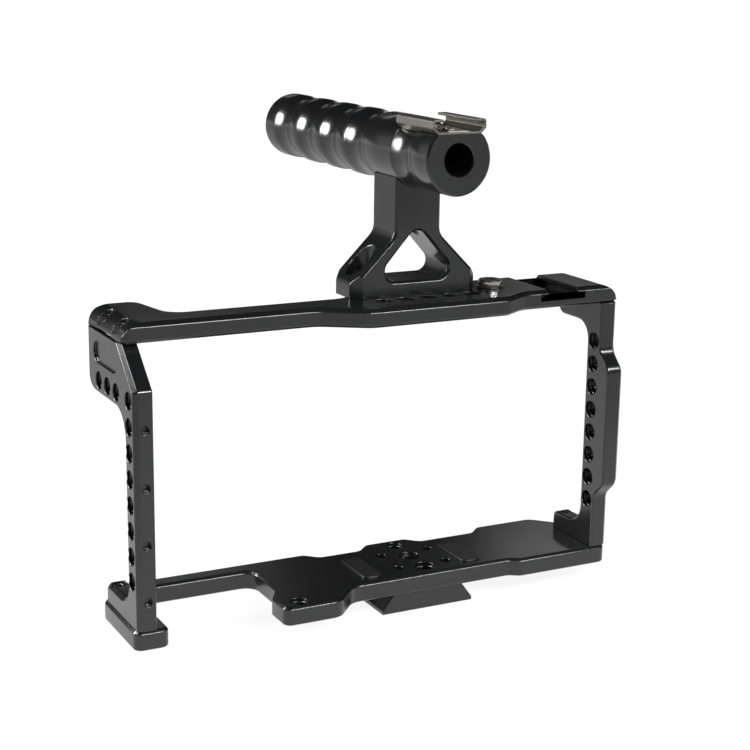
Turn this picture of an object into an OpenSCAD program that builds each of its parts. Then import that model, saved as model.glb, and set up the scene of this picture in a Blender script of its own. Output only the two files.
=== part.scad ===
// Camera cage: a machined frame that bolts around a camera, with a top handle.
//
// Cage coordinates, in millimetres: x runs from the outer face of the left side
// plate to the right, y from the front face of the left column to the rear, and
// z up from the floor of the camera bay. in_frame() moves the finished cage so
// that its origin is under the middle tripod hole, on the face it stands on.

/* [Camera bay] */
// Clear width between the side plates
bay_w = 180.6; // [174:0.1:200]
// Clear height between the base plate and the top plate
bay_h = 96.7; // [92:0.1:115]

/* [Plate stock] */
// Thickness of the base plate
base_t = 7; // [6.5:0.1:9]
// Thickness of the top plate
top_t = 7; // [6.5:0.1:9]
// Thickness of the left side plate
left_t = 6.8; // [6.2:0.1:8]
// Thickness of the right side plate
right_t = 7.3; // [5.8:0.1:8]
// Chamfer along the edges of the base plate and under the top plate
edge_chamfer = 1; // [0.4:0.1:1.3]
// Chamfer round the upper face of the top plate
top_chamfer = 1.5; // [0.6:0.1:1.7]
// Chamfer round the underside of the base plate
under_chamfer = 0.5; // [0.2:0.1:1]
// Chamfer along the outer edges of the side plates
side_chamfer = 1.5; // [0.4:0.1:2]
// Chamfer along the inner edges of the side plates
inner_chamfer = 0.5; // [0.3:0.1:1]

/* [Left side plate] */
// Width of the left column
left_column_w = 10.2; // [9.4:0.1:14]
// Rear face of the ear on the left side plate
ear_rear_y = 48.6; // [44:0.1:52]
// Height of the ear on the left side plate
ear_h = 22.8; // [20:0.1:26]
// Radius of the ear's lower rear corner
ear_corner_r = 8; // [2.5:0.1:9]
// Radius of the arc from the ear down into the column
ear_arc_r = 9; // [3:0.1:10]
// Depth of the sloping cut at the top front corner
slope_depth = 14.8; // [10:0.1:16]
// Height of the sloping cut at the top front corner
slope_h = 13.3; // [9:0.1:14]
// Rear face of the left heel
left_heel_y = 33.8; // [30:0.1:36]
// Height of both heels above the base plate
heel_h = 7.1; // [6.5:0.1:9]
// Radius of the fillet from a column into its heel
heel_fillet_r = 7.5; // [2:0.1:9]
// Radius of the heels' top corners
heel_r = 2.5; // [1:0.1:3]
// Depth of the shallow pocket on the ear
pocket_depth = 0.9; // [0.3:0.1:1.5]
// Length of the pocket
pocket_len = 24.5; // [16:0.1:26]
// Height of the pocket
pocket_h = 7.5; // [5:0.1:8]
// Middle of the pocket behind the column's front face
pocket_y = 28.7; // [28:0.1:29.5]
// Middle of the pocket below the top plate
pocket_drop = 7.4; // [6:0.1:8]

/* [Right side plate] */
// Front face of the right plate's ends
right_front_y = 7.2; // [6:0.1:9]
// Front face of the right plate's middle
right_middle_y = 1.2; // [0:0.1:4]
// Rear face of the right column
right_column_y = 15.8; // [15.3:0.1:18]
// Height of the front step's lower edge above the bay floor
right_step_low = 20.9; // [14:0.1:24]
// Height of the front step's upper edge below the top plate
right_step_high = 18.6; // [14:0.1:24]
// Height that the front steps slope over
right_step_h = 5.9; // [3:0.1:9]
// Rear face of the ear on the right side plate
right_ear_y = 36.6; // [33:0.1:39]
// Rear face of the right heel
right_heel_y = 34.2; // [30:0.1:38]
// Height of the ear on the right side plate
right_ear_h = 8.8; // [8:0.1:14]
// Radius of the arc from the right ear down into the column
right_arc_r = 7; // [3:0.1:8]
// Radius of the right ear's lower corner
right_ear_r = 4; // [2:0.1:5]
// Radius of the bends in the right plate's front edge
right_step_r = 5; // [2:0.5:6]

/* [Tapped holes] */
// Diameter of the 1/4 inch accessory holes
tap_d = 6.35; // [5:0.05:6.6]
// Pitch of the rows of accessory holes
tap_pitch = 9; // [8:0.1:9.5]
// Number of accessory holes in each column
column_holes = 8; // [3:1:8]
// Line of the left column's holes behind its front face
left_holes_y = 5.6; // [4.6:0.1:6]
// Highest hole of the left column below the top plate
left_holes_drop = 17.3; // [17:0.1:19]
// Line of the right column's holes
right_holes_y = 11.5; // [11:0.1:12]
// Highest hole of the right column below the top plate
right_holes_drop = 15.2; // [13:0.1:17]
// First hole of the ear's row behind the column's front face
ear_holes_y = 18; // [17:0.1:19]
// Number of holes in the ear's row
ear_holes = 3; // [1:1:3]
// Diameter of the small front holes in the left column
front_tap_d = 3; // [2:0.1:3.5]
// Depth of the small front holes
front_tap_depth = 2; // [1:0.1:2.2]
// Pitch of the small front holes
front_tap_pitch = 20; // [16:0.1:20.5]
// Lowest small front hole above the bay floor
front_tap_z = 10.4; // [10.2:0.1:12]
// Number of small front holes
front_taps = 4; // [1:1:4]
// Small front holes from the left plate's outer face
front_tap_x = 3.8; // [3.2:0.1:4.2]
// Row of holes in the top plate to the right of the handle's middle
row_shift = 2; // [-2:0.1:4]
// Wall between that row and the handle's post
row_wall = 0.5; // [0.3:0.1:1]

/* [Base plate] */
// Rear edge of the base plate
base_rear_y = 47; // [45.5:0.1:52]
// Front edge of the middle of the base plate
base_front_y = 9.4; // [8:0.1:10]
// Front edge of the right end of the base plate
base_right_y = 6.9; // [5:0.1:7.2]
// Radius of the base plate's front right corner
base_right_r = 3.5; // [1.5:0.1:5]
// Start of the step to the right end of the base plate
base_step_x = 151.5; // [146:0.1:156]
// Length of the step to the right end of the base plate
base_step = 4; // [3:0.1:8]
// How far the left foot stands out past the left side plate
foot_overhang = 0.9; // [0.3:0.1:2]
// Width of the left foot
foot_w = 12.5; // [11:0.1:16]
// Front edge of the left foot
foot_front_y = 0.3; // [-1:0.1:0.5]
// Front edge of the strip behind the front notch
strip_y = 39.4; // [37.5:0.1:41]
// Right end of the front notch
notch_x = 58.4; // [56:0.1:64]
// Left face of the mounting block
block_x = 53.8; // [48:0.1:55]
// Front face of the mounting block
block_front_y = -1; // [-4:0.1:1]
// Width of the mounting block's front face
block_w = 21.8; // [16:0.1:24]
// Length of the mounting block's left face
block_len = 12.2; // [8:0.1:14]
// Length of the slope behind the block's left face
block_step = 7.8; // [5:0.1:10]
// Width of the slope from the block to the plate's front edge
block_slope = 9.5; // [6:0.1:12]
// Mounting block's hole from the block's left face
block_hole_x = 7; // [6:0.1:9]
// Mounting block's hole behind the block's front face
block_hole_y = 5; // [4.6:0.1:7]
// Depth of the two rear recesses
recess_depth = 4.8; // [2:0.1:5]
// Left rear recess, from its left end to the tripod line
recess_left = 36.1; // [32:0.1:40]
// Width of the left rear recess
recess_left_w = 26; // [20:0.1:28]
// Right rear recess, from its left end to the tripod line
recess_right = 7.4; // [6:0.1:10]
// Width of the right rear recess
recess_right_w = 32.5; // [24:0.1:36]
// Corner cut at the rear left of the base plate, along the rear edge
rear_left_cut = 10; // [4:0.1:10.5]
// Corner cut at the rear left of the base plate, along the left side
rear_left_run = 13; // [5:0.1:14]
// Corner cut at the rear right of the base plate
rear_right_cut = 11; // [4:0.1:12]
// Radius of the base plate's front corners
base_corner_r = 3; // [1:0.5:4]
// Radius of the base plate's rear corners
base_rear_r = 6; // [2:0.5:8]
// Radius of the front notch's inner corners
notch_r = 5; // [2:0.5:6]
// Radius of the two rear recesses' corners
recess_r = 4; // [1:0.5:5]
// Radius of the bends beside the mounting block
block_bend_r = 2; // [1:0.5:3]

/* [Tripod holes] */
// Tripod line from the left plate's outer face
tripod_x = 118.6; // [116:0.1:122]
// Middle tripod hole behind the left column's front face
tripod_y = 28.6; // [28:0.1:29]
// Front tripod hole from the middle one
tripod_front = 12.1; // [11.8:0.1:12.3]
// Rear tripod hole from the middle one, for a 1/4 inch screw
tripod_rear = 12.5; // [10.5:0.1:12.6]
// Diameter of the front tripod hole, for a 3/8 inch screw
tripod_front_d = 8; // [6:0.1:8]

/* [Dovetail foot] */
// Height of the dovetail foot
foot_h = 8.5; // [8:0.1:11]
// Width of the dovetail foot across its lower edges
dovetail_w = 38; // [36:0.1:44]
// Height of the upright rim along the foot's lower edges
dovetail_rim = 1.4; // [0.8:0.1:2]
// How far the foot's sides lean inwards
dovetail_lean = 5.3; // [3:0.1:5.5]
// Front face of the foot
dovetail_front_y = 13; // [10:0.1:14]
// Length of the foot
dovetail_len = 32; // [30:0.1:34]
// Spacing of the foot's screws across
foot_screw_dx = 20.1; // [19.8:0.1:21]
// Spacing of the foot's screws from front to rear
foot_screw_dy = 14.2; // [13.8:0.1:16]
// Middle of the foot's screws in front of the tripod hole
foot_screw_back = 2.8; // [2.2:0.1:3]

/* [Rubber pads] */
// Width of a pad
pad_w = 7.5; // [5:0.1:9]
// Length of a pad
pad_len = 20.8; // [12:0.1:22]
// Height that a pad stands above the base plate
pad_proud = 0.8; // [0.4:0.1:1.5]
// Depth of a pad's seat in the base plate
pad_seat = 0.6; // [0.3:0.1:1.5]
// Left pad's middle from the tripod line
left_pad_dx = 23.1; // [21:0.1:26]
// Right pad's middle from the tripod line
right_pad_dx = 18.7; // [18.5:0.1:24]
// Middle of the pads behind the left column's front face
pad_y = 23.1; // [21:0.1:25]

/* [Top plate] */
// Rounding of the top plate's ends, seen from the front
end_r = 8; // [4:0.1:9]
// Front edge of the narrow arm
arm_front_y = 11.4; // [10:0.1:12]
// Width of the narrow arm
arm_w = 13.5; // [9:0.1:15]
// Width of the block that sits on the left side plate
left_block_w = 18.6; // [14:0.1:22]
// Radius of the block's rear left corner
left_block_r = 3; // [2:0.1:6.8]
// Radius of the block's rear right corner
block_rear_r = 6; // [2:0.1:7]
// Start of the step from the arm to the wide part
wide_x = 71; // [66:0.1:73]
// Length of that step
wide_step = 16.7; // [10:0.1:18]
// Front edge of the wide part
wide_front_y = 1.2; // [0:0.1:4]
// Right end of the wide part's front edge
wide_end_x = 143.2; // [140:0.1:146]
// Length of the step from the wide part to the right end
wide_end_step = 9.8; // [6:0.1:14]
// Start of the rear step from the arm to the wide part
rear_step_x = 86.7; // [80:0.1:88]
// Length of the rear step
rear_step = 13; // [9:0.1:16]
// Length of the slope from the arm to the left block
left_block_slope = 4; // [2:0.1:6]
// Corner cut at the front left end of the arm
arm_corner = 2.4; // [1.5:0.1:4]
// Radius of the bends in the top plate's outline
top_bend_r = 10; // [4:0.5:12]
// Radius of the left block's inner bends
left_bend_r = 6; // [2:0.5:7]

/* [Top plate shoe] */
// Middle of the shoe slot from the right plate's outer face
slot_inset = 24.8; // [23:0.1:26]
// Width of the shoe slot's mouth
slot_mouth_w = 12.9; // [12:0.1:14]
// Width of the channel under the lips
slot_channel_w = 18.9; // [18.7:0.1:20]
// Height of the channel
slot_channel_h = 2.1; // [1.8:0.1:2.3]
// Thickness of the lips
slot_lip = 1.8; // [1.5:0.1:2]

/* [Handle] */
// Middle of the handle from the left plate's outer face
handle_x = 113.65; // [112:0.05:115]
// Middle of the post behind the left column's front face
post_y = 26.5; // [26.2:0.1:26.8]
// Depth of the post from front to rear
post_d = 18.4; // [16:0.1:19]
// Width of the post's base
post_base_w = 51; // [50:0.1:56]
// Height of the upright ends of the post's base
post_end_h = 5.6; // [4:0.1:6.4]
// Width of the post's neck
neck_w = 18.3; // [16:0.1:20]
// Chamfer on the post's edges
post_chamfer = 1; // [0.3:0.1:1.2]
// Chamfer on the upright corners of the post's base
post_corner = 3.7; // [1:0.1:4]
// Radius of the post's lower end corners
post_end_r = 3; // [1:0.5:4]
// Radius where the post's slopes meet its neck
neck_r = 6; // [2:0.5:8]
// Height of the window's floor above the top plate
window_floor = 5.7; // [5:0.1:6.4]
// Width of the window's triangle at its floor
window_w = 34.8; // [30:0.1:35.2]
// Height of the window's triangle
window_h = 19.7; // [17:0.1:20.5]
// Rounding of the window's corners
window_r = 3.9; // [3:0.1:4.3]
// Spacing of the handle's base screws
handle_screw_dx = 37; // [37:0.1:38.5]
// Seat of the base screws' heads above the top plate
handle_screw_seat = 3.4; // [3:0.1:4.4]
// Height of the grip's axis above the top plate
grip_z = 51.6; // [48:0.1:60]

/* [Grip] */
// Diameter of the grip
grip_d = 25; // [24:0.1:28]
// Front face of the grip in front of the left column's front face
grip_front = 10.5; // [9:0.1:13]
// Length of the grip
grip_len = 138.5; // [134:0.5:150]
// Diameter of the bore through the grip
grip_bore_d = 11.3; // [9:0.1:11.6]
// Chamfer at the rim of the grip's front face
grip_rim = 0.7; // [0.3:0.1:1.2]
// Rounding of the grip's rear end
grip_end_r = 4; // [3:0.1:6.4]
// Length of the plain collar at the front of the grip
collar_len = 12; // [11:0.1:14]
// Plain length of grip over the post, with its front groove
saddle_len = 36; // [36:0.1:38]
// Pitch of the finger grooves
groove_pitch = 21; // [19:0.1:21.5]
// Number of finger grooves behind the post
grooves = 4; // [1:1:4]
// Depth of the finger grooves
groove_depth = 1.5; // [0.5:0.1:2]

/* [Cold shoe] */
// Width of the cold shoe on the grip
shoe_w = 20.6; // [20.4:0.1:22]
// Length of the cold shoe
shoe_len = 26.8; // [24:0.1:27.5]
// Height of the cold shoe
shoe_h = 5.2; // [4.8:0.1:6]
// Thickness of the cold shoe's sheet
shoe_t = 0.9; // [0.6:0.1:1]
// Width of the slope under each rail of the cold shoe
shoe_bend = 2.1; // [1:0.1:2.3]
// Width between the cold shoe's lips
shoe_mouth_w = 12.4; // [12:0.1:14]
// Height of the grip's flat for the cold shoe above its axis
shoe_flat = 8.6; // [8.2:0.1:9]
// Spacing of the cold shoe's screws
shoe_screw_dy = 12; // [10:0.1:14]
// Thickness of the leaf spring
spring_t = 0.3; // [0.2:0.05:0.5]
// Width of the leaf spring
spring_w = 8; // [7:0.1:10]
// Ends of the leaf spring inside the shoe's ends
spring_in = 1; // [0.5:0.1:2]
// Length of the shoe's screws in the grip
shoe_screw_in = 2; // [1.5:0.1:2.2]

/* [Fasteners] */
// Front screw of the left block behind the column's front face
left_screw_y = 21; // [20:0.1:24]
// Spacing of the left block's screws
left_screw_dy = 16; // [12:0.1:17]
// Depth of the left block's screw heads below the top plate
left_head_sink = 1.8; // [1:0.1:2.2]
// Depth of the other screw heads below the face around them
head_sink = 0.4; // [0.2:0.1:0.6]
// Heel screws from the rear faces of the heels
heel_screw_in = 4.6; // [4.2:0.1:6]
// Right ear's screw from the rear face of the ear
ear_screw_in = 7.4; // [5:0.1:8]
// Length of the heel screws in the base plate
heel_screw_bite = 4.4; // [3.5:0.1:5]
// Length of the right ear's screw in the top plate
ear_screw_bite = 4.4; // [3.5:0.1:5]
// Tips of the handle's screws above the underside of the top plate
handle_tip_in = 1; // [0.5:0.1:2]
// Seat of the grip's screw above the post's window
grip_screw_up = 3.5; // [3:0.1:5]
// Wall between the tip of the grip's screw and the grip's bore
grip_tip_in = 0.7; // [0.5:0.1:1.5]
// Length of the column screws
column_screw_len = 11.5; // [9:0.5:12]
// Length of the foot's screws
foot_screw_len = 9; // [7:0.5:10]
// Diameter of the dowel over the right column
dowel_d = 4; // [3:0.1:4.5]
// Length of the dowel
dowel_len = 12; // [10:0.5:12.5]
// Depth of the dowel in the right column
dowel_sink = 7; // [6:0.1:7.5]

/* [Camera screws] */
// Diameter of the camera screws, 1/4 inch
camera_screw_d = 6.25; // [5.5:0.05:6.25]
// Diameter of the base screw's head
base_head_d = 12; // [10:0.1:12.2]
// Thickness of the base screw's head
base_head_h = 2.5; // [2:0.1:2.6]
// Travel of the base screw up into the camera
base_screw_travel = 6.7; // [5:0.1:6.8]
// Depth that the base screw's tip rests below the bay floor
base_tip_drop = 2.5; // [1:0.1:4]
// Diameter of the middle hole that the base screw rises through
base_screw_hole_d = 8; // [7.2:0.1:8.4]
// Diameter of the top screw's head
top_head_d = 9; // [8:0.1:10]
// Height of the top screw's head
top_head_h = 2.2; // [2:0.1:4]
// Top screw from the left plate's outer face
top_screw_x = 146.3; // [145.5:0.1:147]
// Top screw behind the left column's front face
top_screw_y = 20.9; // [20:0.1:24]
// Thickness of the top screw's washer
top_washer_t = 0.8; // [0.5:0.1:2]
// Thickness of the base screw's washer
washer_t = 0.8; // [0.5:0.1:1.2]
// Diameter of the neck behind the base screw's thread
screw_neck_d = 5; // [4:0.1:5.4]

/* [Clearances] */
// Gap all round a piece that sits in another
fit = 0.05; // [0.02:0.01:0.1]
// Gap all round a screw's head in its counterbore
head_gap = 0.2; // [0.1:0.05:0.25]
// Gap all round the base screw's head in its shaft
shaft_gap = 0.3; // [0.2:0.05:0.4]
// Gap between a screw's tip and the floor of its hole
tip_gap = 0.5; // [0.3:0.1:1]
// Gap at the end of a camera screw's travel
stop_gap = 0.2; // [0.1:0.05:0.3]

/* [Hidden] */
$fn = 64;

// A cut runs this far past the face that it opens
past = 0.5;
// An arc in an outline has one straight stretch for each of these angles
arc_step = 12;
// Screw sizes: shank, head, head height, key and key depth
M2_5 = [2.5, 4.5, 2.5, 2, 1.3];
M3 = [3, 5.5, 3, 2.5, 1.6];
M3_FLAT = [3, 5.4, 0.6, 2, 0.4];
M4 = [4, 7, 4, 3, 2.2];
M5 = [5, 8.5, 5, 4, 2.6];
M6_LOW = [6, 10, 4, 4, 2.2];

body_black = [0.16, 0.16, 0.17];
screw_black = [0.1, 0.1, 0.11];
steel = [0.78, 0.78, 0.76];
rubber = [0.07, 0.07, 0.08];

right_x = left_t + bay_w;
cage_w = right_x + right_t;
top_z = bay_h + top_t;
left_screw_x = left_t / 2;
right_screw_x = right_x + right_t / 2;
grip_axis_z = top_z + grip_z;
grip_front_y = -grip_front;
grip_rear_y = grip_front_y + grip_len;
shoe_floor_z = grip_axis_z + shoe_flat;
shoe_y = grip_front_y + shoe_len / 2;
slot_x = cage_w - slot_inset;
post_front_y = post_y - post_d / 2;
row_y = post_front_y - tap_d / 2 - row_wall;
row_x = handle_x + row_shift;
row_holes = 5;
arm_rear_y = arm_front_y + arm_w;

// ---------------------------------------------------------------- outlines

function unit(v) = v / norm(v);
function turned(v, a) = [v[0] * cos(a) - v[1] * sin(a), v[0] * sin(a) + v[1] * cos(a)];
function flat(p) = [p[0], p[1]];
function turn_angle(u, w) = atan2(u[0] * w[1] - u[1] * w[0], u * w);

// The arc that rounds corner b between a and c with radius r
function corner_arc(a, b, c, r) =
    let (
        u = unit(b - a),
        w = unit(c - b),
        turn = turn_angle(u, w),
        slope = abs(tan(turn / 2)),
        reach = min(r * slope, 0.48 * norm(b - a), 0.48 * norm(c - b)),
        radius = reach / max(slope, 0.001),
        side = sign(turn) * [-u[1], u[0]],
        centre = b - u * reach + side * radius,
        steps = max(1, ceil(abs(turn) / arc_step))
    )
    r == 0 || abs(turn) < 1
        ? [b]
        : [for (i = [0 : steps]) centre - radius * turned(side, turn * i / steps)];

// An outline from corners [x, y, radius], in anticlockwise order
function rounded(corners) =
    let (n = len(corners))
    [
        for (i = [0 : n - 1])
            each corner_arc(
                flat(corners[(i + n - 1) % n]), flat(corners[i]),
                flat(corners[(i + 1) % n]), corners[i][2]
            )
    ];

// A point of an outline moved outwards by d, square to both of its edges
function moved_out(outline, i, d) =
    let (
        n = len(outline),
        u = unit(outline[i] - outline[(i + n - 1) % n]),
        w = unit(outline[(i + 1) % n] - outline[i]),
        p = [u[1], -u[0]],
        q = [w[1], -w[0]]
    )
    outline[i] + d * (p + q) / (1 + p * q);

function backwards(list) = [for (i = [len(list) - 1 : -1 : 0]) list[i]];

// The ring of material that a chamfer takes off an outline's edge at height z;
// way is 1 for an upper edge and -1 for a lower one
module edge_cut(outline, z, chamfer, way) {
    n = len(outline);
    spare = 0.2;
    low = [for (i = [0 : n - 1]) let (p = moved_out(outline, i, spare))
        [p[0], p[1], z - way * (chamfer + spare)]];
    inner = [for (i = [0 : n - 1]) let (p = moved_out(outline, i, -chamfer - spare))
        [p[0], p[1], z + way * spare]];
    outer = [for (i = [0 : n - 1]) let (p = moved_out(outline, i, spare))
        [p[0], p[1], z + way * spare]];
    faces = [
        for (i = [0 : n - 1])
            let (j = (i + 1) % n)
            each [
                [i, 2 * n + i, 2 * n + j, j],
                [n + i, n + j, 2 * n + j, 2 * n + i],
                [i, j, n + j, n + i]
            ]
    ];
    polyhedron(
        points = concat(low, inner, outer),
        faces = way > 0 ? faces : [for (f = faces) backwards(f)]
    );
}

// A plate between two heights, with its upper and lower edges chamfered
module slab(outline, z0, z1, upper, lower) {
    difference() {
        translate([0, 0, z0]) linear_extrude(z1 - z0) polygon(outline);
        edge_cut(outline, z1, upper, 1);
        edge_cut(outline, z0, lower, -1);
    }
}

// Children drawn flat as [y, z] and raised along x
module along_x() {
    rotate([90, 0, 90]) children();
}

// Children drawn flat as [x, z] and raised towards the front, from y = 0
module along_front() {
    rotate([90, 0, 0]) children();
}

module bore(x, y, z0, z1, d) {
    translate([x, y, z0]) cylinder(d = d, h = z1 - z0);
}

// ---------------------------------------------------------------- fasteners

// A cap screw with its head's underside at z = 0 and its tip at -length
module cap_screw(size, length) {
    difference() {
        union() {
            translate([0, 0, -length]) cylinder(d = size[0], h = length + size[2] / 2);
            cylinder(d = size[1], h = size[2]);
        }
        translate([0, 0, size[2] - size[4]])
            cylinder(d = size[3] / cos(30), h = size[4] + past, $fn = 6);
    }
}

// The hole that a cap screw needs: its shank downwards and its head upwards
module cap_screw_hole(size, length, head_room) {
    translate([0, 0, -length]) cylinder(d = size[0] + 2 * fit, h = length + past);
    cylinder(d = size[1] + 2 * head_gap, h = head_room);
}

// ---------------------------------------------------------------- base plate

base_outline = rounded([
    [-foot_overhang, foot_front_y, base_corner_r],
    [foot_w - foot_overhang, foot_front_y, base_corner_r],
    [foot_w - foot_overhang, strip_y, notch_r],
    [notch_x, strip_y, notch_r],
    [notch_x, block_front_y + block_len + block_step, block_bend_r],
    [block_x, block_front_y + block_len, block_bend_r],
    [block_x, block_front_y, base_corner_r],
    [block_x + block_w, block_front_y, 2 * base_corner_r],
    [block_x + block_w + block_slope, base_front_y, 8],
    [base_step_x, base_front_y, base_corner_r],
    [base_step_x + base_step, base_right_y, base_corner_r],
    [cage_w, base_right_y, base_right_r],
    [cage_w, base_rear_y - rear_right_cut, base_rear_r],
    [cage_w - rear_right_cut, base_rear_y, base_rear_r],
    [tripod_x + recess_right + recess_right_w, base_rear_y, recess_r],
    [tripod_x + recess_right + recess_right_w - recess_depth, base_rear_y - recess_depth, recess_r],
    [tripod_x + recess_right + recess_depth, base_rear_y - recess_depth, recess_r],
    [tripod_x + recess_right, base_rear_y, recess_r],
    [tripod_x - recess_left + recess_left_w, base_rear_y, recess_r],
    [tripod_x - recess_left + recess_left_w - recess_depth, base_rear_y - recess_depth, recess_r],
    [tripod_x - recess_left + recess_depth, base_rear_y - recess_depth, recess_r],
    [tripod_x - recess_left, base_rear_y, recess_r],
    [rear_left_cut - foot_overhang, base_rear_y, base_rear_r],
    [-foot_overhang, base_rear_y - rear_left_run, base_rear_r]
]);

heel_screw_y = left_heel_y - heel_screw_in;
right_heel_screw_y = right_heel_y - heel_screw_in;
heel_screw_seat = heel_h - head_sink - M2_5[2];
heel_screw_len = heel_screw_seat + heel_screw_bite;
column_screw_seat = head_sink + M3[2] - base_t;
foot_screw_y = tripod_y - foot_screw_back;
foot_screw_seat = head_sink + M4[2] - base_t - foot_h;
base_head_rest = head_sink - base_t - foot_h;
base_head_top = base_head_rest + base_head_h;
head_shaft_d = base_head_d + 2 * shaft_gap;
head_shaft_top = base_head_top + washer_t + base_screw_travel + stop_gap;

module at_foot_screws() {
    for (sx = [-1, 1], sy = [-1, 1])
        translate([tripod_x + sx * foot_screw_dx / 2, foot_screw_y + sy * foot_screw_dy / 2, 0])
            children();
}

module at_columns_ends() {
    for (p = [[left_screw_x, left_holes_y], [right_screw_x, right_holes_y]])
        translate([p[0], p[1], column_screw_seat]) children();
}

module pad_shape(dx, z0, z1, gap) {
    half_w = pad_w / 2 + gap;
    half_l = pad_len / 2 + gap;
    outline = rounded([
        [-half_w, -half_l, 2.5], [half_w, -half_l, 2.5], [half_w, half_l, 1], [-half_w, half_l, 1]
    ]);
    translate([tripod_x + dx, pad_y, z0]) linear_extrude(z1 - z0) polygon(outline);
}

module base_plate() {
    color(body_black)
    difference() {
        slab(base_outline, -base_t, 0, edge_chamfer, under_chamfer);
        bore(block_x + block_hole_x, block_front_y + block_hole_y, -base_t - past, past, tap_d);
        bore(tripod_x, tripod_y + tripod_rear, -base_t - past, past, tap_d);
        bore(tripod_x, tripod_y - tripod_front, -base_t - past, past, tripod_front_d);
        bore(tripod_x, tripod_y, -base_t - past, past, base_screw_hole_d);
        bore(tripod_x, tripod_y, -base_t - past, head_shaft_top, head_shaft_d);
        at_foot_screws()
            bore(0, 0, -base_t - past, past, M4[0] + 2 * fit);
        at_columns_ends()
            mirror([0, 0, 1])
                cap_screw_hole(M3, -column_screw_seat + past, base_t + column_screw_seat + past);
        translate([left_screw_x, heel_screw_y, heel_screw_seat])
            cap_screw_hole(M2_5, heel_screw_len + tip_gap, past);
        translate([right_screw_x, right_heel_screw_y, heel_screw_seat])
            cap_screw_hole(M2_5, heel_screw_len + tip_gap, past);
        pad_shape(-left_pad_dx, -pad_seat, past, fit);
        pad_shape(right_pad_dx, -pad_seat, past, fit);
    }
}

module left_pad() {
    color(rubber) pad_shape(-left_pad_dx, -pad_seat, pad_proud, 0);
}

module right_pad() {
    color(rubber) pad_shape(right_pad_dx, -pad_seat, pad_proud, 0);
}

// ---------------------------------------------------------------- dovetail foot

module dovetail_foot() {
    half = dovetail_w / 2;
    color(body_black)
    difference() {
        translate([tripod_x, dovetail_front_y + dovetail_len, -base_t - foot_h])
            along_front()
                linear_extrude(dovetail_len)
                    polygon([
                        [-half, 0], [half, 0], [half, dovetail_rim],
                        [half - dovetail_lean, foot_h], [dovetail_lean - half, foot_h],
                        [-half, dovetail_rim]
                    ]);
        bore(tripod_x, tripod_y, -base_t - foot_h - past, past, head_shaft_d);
        at_foot_screws()
            translate([0, 0, foot_screw_seat])
                mirror([0, 0, 1]) cap_screw_hole(M4, foot_h, foot_h);
    }
}

module dovetail_screws() {
    color(screw_black)
        at_foot_screws()
            translate([0, 0, foot_screw_seat]) mirror([0, 0, 1]) cap_screw(M4, foot_screw_len);
}

// ---------------------------------------------------------------- side plates

// Blanks run past both ends, so that only their free edges are chamfered
blank_over = 4;

left_outline = rounded([
    [0, -blank_over, 0],
    [left_heel_y, -blank_over, 0],
    [left_heel_y, heel_h, heel_r],
    [left_column_w, heel_h, heel_fillet_r],
    [left_column_w, bay_h - ear_h, ear_arc_r],
    [ear_rear_y, bay_h - ear_h, ear_corner_r],
    [ear_rear_y, bay_h + blank_over, 0],
    [slope_depth * (1 + blank_over / slope_h), bay_h + blank_over, 0],
    [0, bay_h - slope_h, 2]
]);

// Rounds the rear left upright corner, so that the plate and the top plate match
module rear_left_corner(z0, z1) {
    difference() {
        translate([-past, ear_rear_y - left_block_r, z0])
            cube([left_block_r + past, left_block_r + past, z1 - z0]);
        translate([left_block_r, ear_rear_y - left_block_r, z0 - past])
            cylinder(r = left_block_r, h = z1 - z0 + 2 * past);
    }
}

module at_left_column() {
    for (i = [0 : column_holes - 1])
        translate([0, left_holes_y, bay_h - left_holes_drop - i * tap_pitch]) children();
}

module at_ear() {
    for (i = [0 : ear_holes - 1])
        translate([0, ear_holes_y + i * tap_pitch, bay_h - left_holes_drop]) children();
}

module at_right_column() {
    for (i = [0 : column_holes - 1])
        translate([right_x, right_holes_y, bay_h - right_holes_drop - i * tap_pitch]) children();
}

module cross_bore(thickness) {
    translate([-past, 0, 0]) rotate([0, 90, 0]) cylinder(d = tap_d, h = thickness + 2 * past);
}

left_top_screw_y = [left_screw_y, left_screw_y + left_screw_dy];
left_top_screw_seat = top_z - left_head_sink - M3[2];
left_top_screw_len = 10;

module left_side_plate() {
    color(body_black)
    difference() {
        intersection() {
            along_x() slab(left_outline, 0, left_t, inner_chamfer, side_chamfer);
            translate([-past, -past, 0]) cube([left_t + 2 * past, ear_rear_y + 2 * past, bay_h]);
        }
        rear_left_corner(bay_h - ear_h - past, bay_h + past);
        at_left_column() cross_bore(left_t);
        at_ear() cross_bore(left_t);
        for (i = [0 : front_taps - 1])
            translate([front_tap_x, front_tap_depth, front_tap_z + i * front_tap_pitch])
                rotate([90, 0, 0]) cylinder(d = front_tap_d, h = front_tap_depth + past, $fn = 32);
        for (s = [-1, 1])
            translate([-past, pocket_y + s * (pocket_len - pocket_h) / 2, bay_h - pocket_drop])
                rotate([0, 90, 0]) cylinder(d = pocket_h, h = pocket_depth + past);
        translate([-past, pocket_y - (pocket_len - pocket_h) / 2, bay_h - pocket_drop - pocket_h / 2])
            cube([pocket_depth + past, pocket_len - pocket_h, pocket_h]);
        for (y = left_top_screw_y)
            translate([left_screw_x, y, left_top_screw_seat])
                cap_screw_hole(M3, left_top_screw_len + tip_gap, past);
        translate([left_screw_x, heel_screw_y, heel_screw_seat])
            cap_screw_hole(M2_5, heel_screw_len + tip_gap, heel_h);
        translate([left_screw_x, left_holes_y, column_screw_seat])
            mirror([0, 0, 1]) cap_screw_hole(M3, column_screw_len + tip_gap, past);
    }
}

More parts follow.
